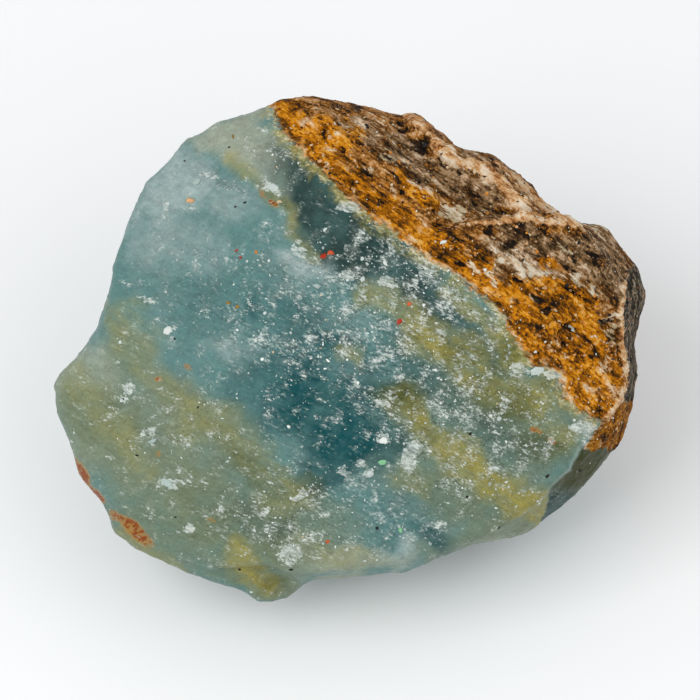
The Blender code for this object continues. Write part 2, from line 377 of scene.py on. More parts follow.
    BRUISE: Rows = (
        (6.0, 0.0, 24.0, 13.5, -15, 0.55), (2.5, 4.5, 11.5, 6.5, -20, 0.35),
        (12.0, -8.0, 13.0, 7.5, -30, 0.38), (-14.0, -12.0, 12.0, 9.0, -35, 0.22),
        (-13.0, 6.0, 8.0, 5.0, 10, 0.22), (-4.0, -18.0, 12.0, 5.0, 0, 0.5),
        (10.0, -17.5, 10.0, 3.5, 10, 0.3), (2.0, 12.5, 2.9, 2.2, -40, 0.45),
        (-0.6, 9.7, 5.1, 2.0, -30, 0.35), (6.6, 9.7, 5.5, 2.4, -30, 0.75), (8.8, 6.6, 5.7, 2.4, -30, 0.85),
        (14.1, 4.4, 1.8, 1.0, -30, 0.9), (-9.7, 0.6, 4.4, 1.1, -5, 0.6), (-3.3, -0.2, 6.6, 0.9, -10, 0.9),
        (2.8, 2.2, 6.6, 2.6, -20, 0.4), (6.6, -1.1, 4.6, 1.6, -25, 0.5), (9.9, -6.6, 2.2, 1.8, -30, 0.6),
        (14.8, -5.5, 5.5, 2.4, -30, 0.4), (3.9, -9.7, 1.3, 0.9, -20, 0.9), (6.8, -11.7, 2.0, 2.4, 30, 0.5),
        (11.9, -15.0, 1.8, 1.3, 30, 0.9), (15.9, -12.8, 1.3, 0.9, 0, 0.7), (1.1, -13.2, 2.2, 1.5, 30, 0.5),
        (-5.5, -16.5, 2.9, 1.5, 40, 0.4), (-0.6, -21.4, 6.6, 1.8, -20, 0.4),
        (7.7, -20.9, 3.3, 1.3, -20, 0.4), (-24.8, -5.0, 1.1, 2.4, -40, 0.8),
        (-22.0, -9.3, 2.6, 0.9, 20, 0.5), (-17.6, -9.9, 6.6, 1.6, -20, 0.25),
        (-17.6, -19.6, 2.0, 1.1, 0, 0.5), (-12.1, -19.8, 5.5, 2.2, -20, 0.3),
        (-16.5, 9.3, 4.8, 2.2, 15, 0.25), (-18.1, 15.4, 3.3, 1.1, -35, 0.25),
        (-9.7, 22.0, 2.9, 1.1, -20, 0.3), (-15.2, 18.9, 4.0, 0.5, -30, 0.8),
        (-12.3, 16.9, 2.2, 0.5, -50, 0.6), (-6.6, 19.8, 2.9, 1.5, -50, 0.4),
        (-8.8, 16.5, 1.8, 0.8, -35, 0.6), (25.9, -8.8, 2.2, 1.5, -30, 0.5),
        (18.7, -2.2, 2.9, 0.9, -15, 0.8), (20.9, -9.9, 2.6, 1.3, -20, 0.4), (-25.3, 1.1, 1.3, 2.2, 0, 0.3),
        (-22.2, 5.6, 1.5, 0.4, -10, 0.8),
    )
    FLAKES: Rows = (
        (-8.5, 17.5, 1.4, 0.5, -32, 1.0), (-0.1, 15.6, 1.8, 0.7, 6, 1.0), (6.9, -10.9, 1.6, 0.9, 40, 1.0),
        (6.4, -12.5, 0.9, 1.2, 0, 1.0), (-0.7, -13.3, 1.1, 0.6, -20, 0.7), (-5.4, -15.9, 1.6, 0.6, 42, 0.8),
        (1.3, -12.3, 0.7, 0.5, 0, 1.0), (2.1, -13.4, 0.6, 0.6, 0, 1.0), (3.6, -9.7, 0.9, 0.6, -15, 1.0),
        (-6.6, -22.2, 2.0, 1.6, 60, 0.7), (-19.6, -14.8, 1.0, 0.7, -25, 0.8),
        (-24.4, -4.7, 1.7, 0.7, 60, 0.7), (-22.1, -8.8, 1.6, 0.6, 25, 0.65),
        (-19.9, 2.2, 0.4, 0.4, 40, 1.0), (-17.5, -19.5, 0.8, 0.7, 30, 0.6),
        (18.5, -2.1, 1.5, 0.6, -15, 1.0), (22.0, -2.6, 1.3, 0.7, 0, 0.9), (25.6, -8.5, 1.6, 0.8, 0, 0.9),
        (25.9, -9.9, 0.9, 1.1, 0, 0.6), (-0.2, 8.2, 1.1, 0.6, 0, 0.9), (4.0, 7.3, 1.4, 0.7, -25, 0.8),
        (8.8, 8.4, 1.8, 0.7, -10, 0.7), (-5.6, 10.8, 1.1, 1.3, 40, 0.6), (-22.2, 5.6, 1.4, 0.4, -8, 0.8),
        (-9.6, 24.1, 1.0, 0.4, -20, 0.6), (-15.2, 19.0, 2.0, 0.2, -18, 0.8),
        (-12.5, 17.8, 0.9, 0.2, -50, 0.7), (-20.4, 15.6, 0.4, 1.0, 20, 0.6),
        (10.1, 15.0, 1.8, 0.4, -12, 0.8),
    )
    RUST: Rows = (
        (-29.4, -13.4, 0.9, 2.0, 24, 1.0), (-28.0, -15.8, 1.4, 0.7, -50, 0.9),
        (-23.6, -19.8, 3.3, 0.9, -38, 0.9), (-25.9, -18.0, 1.1, 0.7, -40, 0.6),
        (-20.9, -3.4, 0.5, 0.35, 0, 0.8), (-17.6, -2.0, 0.4, 0.7, 40, 0.7),
        (-20.9, -11.1, 0.35, 0.45, 0, 0.7), (-15.2, -18.7, 0.9, 0.25, -10, 0.6),
        (20.4, -8.8, 0.9, 0.4, -20, 0.8), (22.0, -10.0, 0.6, 0.4, -20, 0.8),
        (-8.6, 16.1, 0.9, 0.4, -45, 0.9), (-9.7, 17.1, 0.6, 0.4, -45, 0.6),
    )
    GREY: Rows = (
        (-1.2, 25.9, 5.6, 1.2, -12, 0.25), (2.8, 22.6, 4.5, 2.0, -35, 0.55),
        (7.2, 20.4, 4.0, 1.8, -40, 1.0), (13.2, 17.4, 6.1, 2.6, -38, 0.8), (18.7, 18.7, 5.5, 1.5, -38, 0.8),
        (13.8, 20.9, 3.3, 1.1, -35, 0.6), (21.5, 11.6, 7.7, 2.2, -15, 0.9), (27.5, 9.7, 5.5, 3.1, -35, 0.9),
        (23.1, 7.2, 6.6, 1.8, -25, 0.45), (30.8, 5.5, 1.8, 3.3, 0, 0.9), (16.5, 9.7, 4.4, 2.0, -20, 0.6),
        (20.4, 5.5, 4.0, 1.1, -35, 0.8),
    )
    AMBER: Rows = (
        (7.7, 17.6, 3.7, 1.3, -40, 0.9), (9.4, 11.9, 4.0, 1.3, -30, 1.0), (22.0, 9.7, 1.5, 0.8, -40, 0.8),
        (23.1, 4.4, 7.7, 3.7, -35, 1.0), (27.5, -2.2, 4.4, 2.6, -60, 1.0), (24.8, -5.0, 3.3, 1.5, -20, 0.9),
        (16.5, 5.5, 3.3, 1.3, -40, 0.9), (4.4, 14.9, 3.9, 1.4, -42, 0.9), (-3.3, 21.5, 4.4, 1.8, -45, 0.9),
        (-1.6, 23.6, 3.6, 1.8, -38, 0.85),
    )
    DARK: Rows = (
        (5.7, 24.5, 0.9, 0.55, -45, 1.0), (7.4, 22.4, 1.6, 0.8, -40, 1.0), (4.6, 19.4, 0.9, 0.35, -40, 0.7),
        (-1.1, 22.0, 0.9, 0.45, -40, 0.9), (-0.7, 24.3, 1.5, 0.7, -35, 0.75),
        (0.9, 22.6, 0.9, 0.4, -40, 0.7), (1.7, 19.8, 1.2, 0.45, -40, 0.9), (0.0, 18.2, 0.7, 0.4, -40, 0.8),
        (-3.1, 23.7, 0.9, 0.45, -40, 0.8), (-5.5, 24.8, 0.7, 0.45, -45, 0.8),
        (3.3, 16.3, 0.8, 0.35, -40, 0.7), (22.7, 3.5, 2.0, 0.5, -25, 1.0), (24.2, 2.2, 1.3, 0.55, -30, 1.0),
        (26.1, 0.9, 1.5, 0.55, -40, 1.0), (24.4, 6.6, 2.6, 0.3, -35, 0.9), (21.0, 9.8, 2.6, 0.3, -30, 0.8),
        (26.2, 4.9, 2.2, 0.35, -42, 0.9), (28.2, 3.2, 1.0, 0.35, 0, 1.0), (24.2, 9.0, 1.7, 0.35, -30, 0.9),
        (22.4, 6.7, 1.3, 0.35, -35, 0.9), (19.9, 8.2, 1.0, 0.35, -20, 0.8),
        (20.4, 5.8, 1.1, 0.55, -40, 0.9), (21.5, 4.4, 0.9, 0.45, 0, 0.8), (17.6, 11.6, 1.1, 0.45, 0, 0.8),
        (9.5, 13.7, 0.7, 0.3, -10, 0.9), (11.6, 12.1, 1.0, 0.4, -20, 0.7), (5.5, 18.7, 0.8, 0.35, -40, 0.7),
        (12.1, 9.4, 0.9, 0.35, -30, 0.7), (18.4, 7.6, 0.8, 0.35, -30, 0.8), (9.9, 20.6, 1.3, 0.6, -38, 0.8),
        (11.6, 19.4, 1.1, 0.5, -38, 0.8), (26.6, 10.6, 1.2, 0.4, -30, 0.8),
    )
    BLOOM: Rows = (
        (10.8, 15.0, 2.4, 0.8, -12, 0.85), (7.5, 14.1, 1.5, 0.6, -30, 0.4),
        (18.1, 10.1, 3.7, 1.3, -22, 0.45), (14.8, 8.3, 2.6, 0.8, -35, 0.5), (4.9, 17.1, 1.5, 0.7, -30, 0.3),
        (20.4, 6.4, 2.2, 0.4, -45, 0.9), (27.5, 13.2, 2.0, 0.7, -35, 0.9), (28.8, 2.2, 1.5, 2.9, 0, 0.7),
        (12.4, 15.6, 1.3, 0.6, 0, 0.6), (2.8, 18.8, 1.0, 0.5, -40, 0.6), (3.9, 20.9, 1.9, 0.9, -38, 0.75),
        (24.2, 11.0, 2.2, 0.7, -30, 0.6), (22.4, 8.4, 1.9, 0.5, -35, 0.8), (25.4, 7.1, 1.7, 0.45, -35, 0.8),
        (8.0, 18.2, 1.3, 0.5, -40, 0.5), (22.0, -0.5, 2.2, 0.8, -20, 0.5), (28.2, -1.5, 1.4, 1.8, 0, 0.5),
        (-2.2, 19.8, 1.0, 0.5, -45, 0.5),
    )
    SALMON: Runs = (
        (
            ((6.3, 26.0), (8.5, 24.1), (10.3, 21.6), (11.8, 20.6), (13.6, 20.2), (15.2, 19.4),
             (17.3, 17.5), (18.9, 14.9)),
            0.6, 1.0,
        ),
        (((16.5, 20.6), (19.1, 18.2), (21.1, 16.1), (23.6, 14.3)), 0.6, 0.85),
        (((13.2, 13.9), (16.5, 14.0), (19.1, 14.2), (21.6, 14.0), (24.8, 13.8)), 0.28, 0.9),
        (
            ((29.9, 7.2), (29.5, 3.9), (29.8, 0.8), (30.1, -2.3), (29.8, -5.2), (27.6, -7.9),
             (25.3, -10.6)),
            0.3, 0.8,
        ),
    )
    FLANK: Line = (
        (33.0, 12.5), (29.9, 7.2), (29.5, 3.9), (29.8, 0.8), (30.1, -2.3), (29.8, -5.2), (27.6, -7.9),
        (25.3, -10.6), (24.2, -13.4), (22.0, -15.4), (21.4, -18.4),
    )
    CRUST_EDGE: Line = (
        (-11, 31), (-9, 27), (-7, 23.5), (-4.4, 20.6), (-2.9, 19.0), (-0.3, 16.7), (1.4, 15.5), (4.3, 12.9),
        (7.9, 10.2), (10.1, 9.0), (13.8, 6.1), (16.0, 4.7), (18.2, 0.6), (19.9, -1.5), (23.1, -2.5),
        (23.3, -5.4), (24.8, -6.6), (26.3, -7.2), (29, -8.4), (34, -10.5),
    )
    OUTLINE: Line = (
        (-32.7, -3.9), (-31.9, -2.2), (-29.5, 0.0), (-27.7, 2.5), (-26.8, 5.5), (-25.7, 10.1),
        (-24.4, 14.4), (-22.5, 18.8), (-20.2, 20.8), (-18.1, 23.2), (-14.9, 25.1), (-10.5, 26.1),
        (-4.8, 27.9), (2.2, 26.8), (7.6, 25.9), (12.3, 21.8), (15.9, 21.6), (20.1, 18.2), (24.5, 14.0),
        (28.2, 13.4), (31.9, 9.2), (32.7, 6.4), (31.5, 1.0), (31.2, -6.2), (30.0, -10.3), (24.0, -16.9),
        (19.7, -20.2), (13.8, -21.3), (2.2, -24.9), (-4.4, -25.4), (-7.0, -27.5), (-9.9, -27.9),
        (-15.0, -25.6), (-22.6, -22.2), (-25.7, -20.2), (-29.9, -13.6), (-32.0, -7.2),
    )

    @classmethod
    def ovals(cls, at: Array, rows: Rows) -> Array:
        """Give how far a set of soft ovals covers each point.

        Args:
            at: Places on the face, two numbers each.
            rows: The ovals.

        Returns:
            Cover from 0 to 1.
        """
        bare = np.ones(len(at))
        for u, v, length, width, bearing, strength in rows:
            turn = math.radians(bearing)
            du, dv = at[:, 0] - u, at[:, 1] - v
            far = (du * math.cos(turn) + dv * math.sin(turn)) / length
            off = (dv * math.cos(turn) - du * math.sin(turn)) / width
            bare *= 1 - strength * (1 - ramp(np.hypot(far, off), *cls.OVAL_EDGE))
        return 1 - bare

    @staticmethod
    def gap(at: Array, points: Line) -> tuple[Array, Array]:
        """Measure each place's distance from a run of straight lines.

        Args:
            at: Places on the face.
            points: The corners of the run.

        Returns:
            The distance, and the side of the run, 1 on its left and -1 on its right.
        """
        best = np.full(len(at), np.inf)
        side = np.ones(len(at))
        for start, end in zip(points[:-1], points[1:]):
            a, step = np.array(start), np.array(end) - np.array(start)
            share = np.clip((at - a) @ step / (step @ step), 0, 1)
            off = at - a - share[:, None] * step
            length = np.hypot(off[:, 0], off[:, 1])
            left = np.where(step[0] * (at[:, 1] - a[1]) - step[1] * (at[:, 0] - a[0]) >= 0, 1.0, -1.0)
            side = np.where(length < best, left, side)
            best = np.minimum(best, length)
        return best, side

    @classmethod
    def runs(cls, at: Array, rows: Runs) -> Array:
        """Give how far a set of soft-edged runs covers each place.

        Args:
            at: Places on the face, in mm.
            rows: The runs.

        Returns:
            One cover for each place, from 0 to 1.
        """
        bare = np.ones(len(at))
        for points, width, strength in rows:
            bare *= 1 - strength * (1 - ramp(cls.gap(at, points)[0] / width, *cls.RUN_EDGE))
        return 1 - bare


@dataclass
class Grid:
    """A mesh's points and edges as arrays, for smoothing and carving.

    Attributes:
        mesh: The mesh that is read and written.
        edges: The two points of each edge.
        degree: How many edges meet at each point.
    """

    mesh: bpy.types.Mesh
    edges: Array = field(init=False)
    degree: Array = field(init=False)

    def __post_init__(self) -> None:
        """Read the edges once."""
        self.edges = np.empty(len(self.mesh.edges) * 2, np.int32)
        self.mesh.edges.foreach_get("vertices", self.edges)
        self.edges = self.edges.reshape(-1, 2)
        self.degree = np.bincount(self.edges.ravel(), minlength=len(self.mesh.vertices)).astype(float)

    def read(self, what: str) -> Array:
        """Read the points' places or their normals.

        Args:
            what: Either "co" or "normal".

        Returns:
            One row for each point.
        """
        flat = np.empty(len(self.mesh.vertices) * 3, np.float32)
        self.mesh.vertices.foreach_get(what, flat)
        return flat.reshape(-1, 3).astype(float)

    def write(self, points: Array) -> None:
        """Write the points' places in metres."""
        self.mesh.vertices.foreach_set("co", points.astype(np.float32).ravel())
        self.mesh.update()

    def mean_round(self, values: Array) -> Array:
        """Give the mean of each point's neighbours.

        Args:
            values: One number or one row for each point.

        Returns:
            The means, in the same shape.
        """
        columns = values.reshape(len(values), -1)
        first, second = self.edges.T
        totals = [
            np.bincount(first, column[second], len(columns))
            + np.bincount(second, column[first], len(columns))
            for column in columns.T
        ]
        return (np.stack(totals, axis=1) / self.degree[:, None]).reshape(values.shape)

    def smooth(self, values: Array, rounds: int) -> Array:
        """Smooth values over the mesh.

        Args:
            values: One number or one row for each point.
            rounds: How many times to smooth.

        Returns:
            The smoothed values.
        """
        for _ in range(rounds):
            values = values + 0.5 * (self.mean_round(values) - values)
        return values

    def relax(self, points: Array, rounds: int, share: Array) -> Array:
        """Smooth the points without shrinking the body.

        Args:
            points: The points' places.
            rounds: How many times to smooth.
            share: How much each point takes part, from 0 to 1.

        Returns:
            The smoothed places.
        """
        for _ in range(rounds):
            for step in (0.5, -0.52):
                points = points + step * share * (self.mean_round(points) - points)
        return points

    def mark(self, name: str, values: Array) -> None:
        """Keep one number for each point, which the materials read by name."""
        made = self.mesh.attributes.new(name, "FLOAT", "POINT")
        made.data.foreach_set("value", values.astype(np.float32))


def keep_map(mesh: bpy.types.Mesh, places: Array) -> None:
    """Give a mesh the flat map, named OFBake, that its material is baked through.

    Args:
        mesh: The mesh.
        places: A place on the map for every face corner, in any unit.
    """
    layer = mesh.uv_layers.new(name="OFBake")
    layer.data.foreach_set("uv", (places / places.max()).astype(np.float32).ravel())


@dataclass(frozen=True)
class Relief:
    """How deep each kind of small relief goes, in mm.

    Attributes:
        swell: Broad swells of the whole lump.
        scoop: Shell-like scoops of the broken blue stone.
        chip: Small scoops among them.
        lip: The sharp lip between two scoops.
        chip_lip: The lip between two small ones.
        bed: The crust's long crests.
        lump: The crust's rounded lumps.
        ridge: The crust's pale ridges.
        hole: The crust's dark hollows.
        hackle: Fine splinters of the break.
        flake: Thin plates left standing on the blue.
        fibre: The crust's fibres.
        grain: The crust's fine grain.
        pit: The crust's small pits.
    """

    swell: float = 0.26
    scoop: float = 0.50
    chip: float = 0.17
    lip: float = 0.06
    chip_lip: float = 0.03
    bed: float = 0.55
    lump: float = 0.20
    ridge: float = 0.42
    hole: float = 0.55
    hackle: float = 0.08
    flake: float = 0.12
    fibre: float = 0.36
    grain: float = 0.16
    pit: float = 0.32


@dataclass
class Stone:
    """The lump itself, refined from the CAD node and carved.

    Attributes:
        cell: Width of the remeshed faces, in mm. The side that faces the camera gets half.
        shown: How squarely a face looks out of the blue face where it gets that half.
        relax_rounds: Smoothing that takes the CAD body's flat facets away.
        foot_fade: Heights between which the carving fades to the flat resting spot, in mm.
        rim_keep: Share of the carving that stays at the face's own outline.
        rim_fade: Distances from the outline between which the rest comes back, in mm.
        crust_keep: Share of the smoothing that the crust is spared.
        depth: Depths of the relief.
        noise: The noise that shapes and colours it.
        fields: What is known of every point, by name.
        behind: Cover of each colour on the sides that the photograph doesn't show.
    """

    cell: float = 0.535
    shown: float = 0.12
    relax_rounds: int = 9
    foot_fade: tuple[float, float] = (0.25, 1.6)
    rim_keep: float = 0.6
    rim_fade: tuple[float, float] = (0.2, 1.6)
    crust_keep: float = 0.6
    depth: Relief = Relief()
    noise: Noise = field(default_factory=lambda: Noise(41))
    fields: dict[str, Array] = field(default_factory=dict)
    behind: dict[str, Array] = field(default_factory=dict)

    # Shelves of the flat map: each chart is (side, across, up, scale), a side being twice the
    # face frame's axis, plus one where it looks the axis's own way.
    SHELVES: ClassVar[tuple] = (
        ((5, 0, 1, 1.5), (4, 0, 1, 1.0)),
        ((0, 2, 1, 1.0), (1, 2, 1, 1.0), (2, 2, 0, 1.0), (3, 2, 0, 1.0)),
    )

    def build(self) -> bpy.types.Object:
        """Make the carved stone with its colour fields.

        Returns:
            The piece, not yet dressed.
        """
        body = self._remeshed(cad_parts[NODE])
        self._refine(body.data)
        grid = Grid(body.data)
        self._chart(grid)
        share = 1 - self.crust_keep * self.fields["crust"]
        grid.write(grid.relax(grid.read("co"), self.relax_rounds, share[:, None]))
        self._chart(grid)
        self._carve(grid, self._broad())
        self._carve(grid, self._fine())
        self._fill_behind()
        self._mark_blue(grid)
        self._mark_crust(grid)
        self._mark_hollows(grid)
        self._unwrap(grid)
        body.data.polygons.foreach_set("use_smooth", np.ones(len(body.data.polygons), bool))
        return body

    def _remeshed(self, source: bpy.types.Object) -> bpy.types.Object:
        """Copy the CAD node's mesh into an even one.

        Args:
            source: The CAD node.

        Returns:
            A new object named stone.
        """
        draft = bpy.data.objects.new("draft", source.data.copy())
        bpy.context.scene.collection.objects.link(draft)
        even = draft.modifiers.new("even", "REMESH")
        even.mode = "VOXEL"
        even.voxel_size = self.cell * MM
        graph = bpy.context.evaluated_depsgraph_get()
        mesh = bpy.data.meshes.new_from_object(draft.evaluated_get(graph))
        mesh.name = "stone"
        bpy.data.objects.remove(draft)
        stone = bpy.data.objects.new("stone", mesh)
        bpy.context.scene.collection.objects.link(stone)
        return stone

    def _refine(self, mesh: bpy.types.Mesh) -> None:
        """Halve the faces that look out of the blue face.

        Args:
            mesh: The mesh to work on.
        """
        out = Vector(FACE.turn()[:, 2])
        work = bmesh.new()
        work.from_mesh(mesh)
        axes = dict.fromkeys(("use_axis_x", "use_axis_y", "use_axis_z"), True)
        bmesh.ops.smooth_vert(work, verts=work.verts, factor=0.5, **axes)
        work.normal_update()
        seen = [
            edge for edge in work.edges
            if any(face.normal.dot(out) > self.shown for face in edge.link_faces)
        ]
        bmesh.ops.subdivide_edges(work, edges=seen, cuts=1, use_grid_fill=True)
        work.to_mesh(mesh)
        work.free()

    def _drift(self, at: Array, shifts: tuple[float, ...], *layering: float) -> Array:
        """Give one column of layered noise for each shift, to move points by."""
        return np.stack([self.noise.layered(at + shift, *layering) for shift in shifts], axis=1)

    def _drawn_out(
        self, at: Array, bearing: float, sizes: tuple[float, float, float], keep: float = 0.5
    ) -> Array:
        """Give three layers of noise drawn out along a bearing.

        Args:
            at: The points to read.
            bearing: Direction of the grain on the face, in degrees.
            sizes: Length, width and depth of the widest wave, in mm.
            keep: Strength of each next layer beside the last.

        Returns:
            One height for each point.
        """
        return self.noise.layered(along(at, bearing, sizes), 1.0, 3, keep)

    def _chart(self, grid: Grid) -> None:
        """Work out where every point lies: on the face, the crust, the flank or the back.

        Args:
            grid: The mesh.
        """
        at = FACE.inward(grid.read("co"))
        normal = grid.smooth(grid.read("normal") @ FACE.turn(), 6)
        normal /= np.linalg.norm(normal, axis=1, keepdims=True)
        wander = self._drift(at, (0.0, 71.0), 3.4, 4, 0.55)
        sweep = self._drift(at, (130.0, 170.0), 6.5, 1)
        edge_gap, edge_side = Zones.gap(at[:, :2] + 0.35 * wander, Zones.CRUST_EDGE)
        flank_gap, flank_side = Zones.gap(at[:, :2] + 0.12 * wander, Zones.FLANK)
        back = ramp(normal[:, 2], 0.15, -0.25)
        flank = ramp(flank_gap * flank_side, -0.1, 0.3) * ramp(at[:, 0], 20, 21) * (1 - back)
        flank *= ramp(at[:, 1], 13.0, 10.5)
        rind = edge_gap * edge_side + 0.45 * np.minimum(at[:, 2] + 4, 0) * ramp(at[:, 0], 25, 15)
        upper = at[:, 1] + 0.5 * wander[:, 0] > -11.2
        rind = np.where(upper & (flank > 0.5), np.maximum(rind, 4 * flank - 2), rind)
        self.fields |= {
            "at": at,
            "normal": normal,
            "wander": wander,
            "place": at[:, :2] + 0.75 * wander + 1.2 * sweep,
            "back": back,
            "front": 1 - back,
            "flank": flank,
            "rind": rind,
            "rim": Zones.gap(at[:, :2], Zones.OUTLINE + Zones.OUTLINE[:1])[0],
            "crust": ramp(rind, -0.1, 0.6),
        }

    def _carve(self, grid: Grid, depth: Array) -> None:
        """Move the points along their normals and keep them inside the CAD box.

        Args:
            grid: The mesh.
            depth: How far each point moves out, in mm.
        """
        points = grid.read("co")
        normal = grid.smooth(grid.read("normal"), 2)
        normal /= np.linalg.norm(normal, axis=1, keepdims=True)
        foot = ramp(points[:, 2] / MM, *self.foot_fade)
        held = (1 - self.rim_keep) * (1 - ramp(self.fields["rim"], *self.rim_fade))
        rim = 1 - self.fields["front"] * held
        grid.write(in_box(points + normal * (depth * foot * rim * MM)[:, None]))

    def _broad(self) -> Array:
        """Work out the scoops, swells, crust ridges and hollows.

        Returns:
            How far each point moves out, in mm.
        """
        at, crust, front = self.fields["at"], self.fields["crust"], self.fields["front"]
        swell = self.depth.swell * self.noise.layered(at, 8.5, 2)
        bend = at + 1.1 * self._drift(at, (5.0, 43.0, 90.0), 3.4, 2)
        near, after = self.noise.cells(along(bend, -32, (1.5, 1.0, 1.0)), 4.8)
        scoops = self.depth.scoop * near**2 - 0.26 + self.depth.lip * ramp(after - near, 0.12, 0.0)
        near, after = self.noise.cells(along(bend + 11, 20, (1.4, 1.0, 1.0)), 2.0)
        scoops += self.depth.chip * near**2 - 0.08 + self.depth.chip_lip * ramp(after - near, 0.1, 0.0)
        beds = self.noise.ridged(along(bend, -38, (9.0, 1.9, 1.9)), 2) - Noise.CREST_MEAN
        lumps = self.noise.layered(at + 9, 2.6, 3)
        wobble = 0.25 * self.noise.layered(at, 1.5, 3)[:, None]
        steep = ramp(self.fields["normal"][:, 2] + 0.15 * lumps, 0.25, -0.05)
        place = at[:, :2] + wobble + 2.5 * steep[:, None] * self.fields["wander"]
        salmon = Zones.runs(place, Zones.SALMON) * front * (1 - 0.8 * steep)
        hole = Zones.ovals(place, Zones.DARK) * front
        self.fields |= {"salmon": salmon, "hole": hole}
        rock = self.depth.bed * beds + self.depth.lump * lumps
        rock += self.depth.ridge * salmon - self.depth.hole * hole
        return swell + (1 - crust) * scoops + crust * rock

    def _fine(self) -> Array:
        """Work out the hackles, flake steps, fibres and pits.

        Returns:
            How far each point moves out, in mm.
        """
        at, crust, front = self.fields["at"], self.fields["crust"], self.fields["front"]
        bend = at + 0.35 * self._drift(at, (3.0, 51.0, 77.0), 1.6, 1)
        hackle = self.noise.ridged(along(bend, -24, (3.6, 0.75, 0.75)), 3) - Noise.CREST_MEAN
        grainy = self.noise.layered(bend, 0.85, 3, 0.6)
        terrace = 4 * self.noise.layered(along(at + 23, -30, (1.5, 1.0, 1.0)), 2.4, 4, 0.6)
        steps = (np.floor(terrace) + ramp(terrace - np.floor(terrace), 0.0, 0.3)) / 4
        hurt = Zones.ovals(self.fields["place"], Zones.BRUISE) * front
        wobble = 0.3 * self.noise.layered(at, 0.9, 3)[:, None]
        flakes = Zones.ovals(at[:, :2] + wobble, Zones.FLAKES) * front
        blue = self.depth.hackle * hackle + (0.05 + 0.06 * hurt) * grainy + (0.06 + 0.12 * hurt) * steps
        blue += self.depth.flake * ramp(flakes, 0.4, 0.55)
        lying = self.noise.ridged(along(bend, -34, (5.5, 0.62, 0.62)), 3)
        standing = self.noise.ridged(along(bend, 82, (7.0, 0.8, 0.8)), 3)
        fibres = lying + (standing - lying) * self.fields["flank"] - Noise.CREST_MEAN
        pits = self.noise.layered(along(at + 61, -38, (1.8, 1.0, 1.0)), 1.1, 3, 0.6)
        pits = ramp(pits, 0.55, 0.95)
        rough = self.depth.fibre * fibres + self.depth.grain * grainy - self.depth.pit * pits
        self.fields |= {
            "hurt": np.maximum(hurt, 0.4 * self.fields["back"]),
            "flake": flakes,
            "bend": bend,
            "pit": np.maximum(pits * 0.4, self.fields["hole"]) * crust,
        }
        return (1 - crust) * blue + crust * rough

    def _fill_behind(self) -> None:
        """Work out the colours' cover on the sides that the photograph doesn't show."""
        at = self.fields["at"]
        cloud = self.noise.layered(at + 200, 13.0, 3)
        drift = self._drawn_out(at + 140, -40, (16.0, 5.0, 7.0))
        veins = self.noise.ridged(along(at + 400, -40, (15.0, 4.0, 6.0)), 2)
        self.behind = {
            "frost": ramp(cloud, 0.15, 0.9),
            "deep": ramp(-cloud, 0.1, 0.8),
            "slate": ramp(drift, 0.35, 0.9),
            "moss": ramp(drift, -0.1, -0.8),
            "sage": 0.35 * ramp(cloud + drift, 0.3, 1.0),
            "olive": 0.5 * ramp(drift - cloud, 0.8, 1.3),
            "straw": 0.7 * ramp(veins, 0.86, 1.0),
            "rust": 0.6 * ramp(self.noise.layered(at + 300, 5.0, 3), 0.75, 1.1),
            "grey": ramp(self._drawn_out(at + 90, -38, (14.0, 4.0, 6.0)), -0.35, 0.35),
            "amber": 0.8 * ramp(self._drawn_out(at + 170, -38, (9.0, 3.0, 4.0)), 0.1, 0.7),
            "bloom": 0.7 * ramp(self.noise.layered(at + 230, 3.0, 3), 0.45, 0.9),
        }

    def _joined(self, name: str, cover: Array) -> Array:
        """Join a colour's cover on the side that the photograph shows with the one behind."""
        return self.fields["front"] * cover + self.fields["back"] * self.behind[name]

    def _mark_blue(self, grid: Grid) -> None:
        """Write the fields that colour the blue stone.

        Args:
            grid: The mesh.
        """
        at, place, flank = self.fields["at"], self.fields["place"], self.fields["flank"]
        up = at[:, 1]
        cloud = self.noise.layered(at + 50, 4.4, 4, 0.6)
        puff = self.noise.layered(at + 260, 1.7, 3, 0.6)
        streak = self._drawn_out(self.fields["bend"] + 80, -34, (5.5, 0.8, 1.6), 0.6)
        sway = 0.45 * cloud + 0.24 * puff
        corner = 1 - ramp(Zones.gap(at[:, :2], Zones.FLANK)[0], 0.1, 0.35)
        side = {
            "olive": flank * ramp(up, -10.2, -11.4) * ramp(up, -16.6, -14.6),
            "slate": 0.9 * flank * ramp(up, -14.4, -16.2),
            "frost": 0.8 * corner * ramp(up, -8, -10),
        }
        for name, ovals, most, swing in (
            ("frost", Zones.FROST_AND_GLOW, 0.95, 1.0),
            ("sage", Zones.SAGE, 0.95, 0.5),
            ("moss", Zones.MOSS, 0.95, 0.5),
            ("deep", Zones.DEEP, 0.98, 1.0),
            ("slate", Zones.SLATE, 0.98, 0.5),
            ("olive", Zones.OLIVE, 0.9, 1.0),
        ):
            cover = self._joined(name, Zones.ovals(place, ovals) * (1 - flank))
            cover = most * (cover * (1 + swing * sway) + 0.12 * swing * sway)
            grid.mark(name, np.clip(np.maximum(cover, side.get(name, 0)), 0, 1))
        straw = self._joined("straw", Zones.runs(place, Zones.STRAW) * (1 - flank))
        grid.mark("straw", np.clip(straw * (0.85 + 0.45 * streak + 0.30 * sway), 0, 1))
        rust = self._joined("rust", Zones.ovals(0.7 * at[:, :2] + 0.3 * place, Zones.RUST))
        grid.mark("rust", 0.9 * rust + 0.18 * puff)
        grid.mark("milk", 0.5 * np.clip(0.07 + 0.42 * cloud, 0, 1))
        grid.mark("puff", level(puff))
        grid.mark("hurt", self.fields["hurt"])
        grid.mark("flake", self.fields["flake"])
        self.fields["puff"] = puff

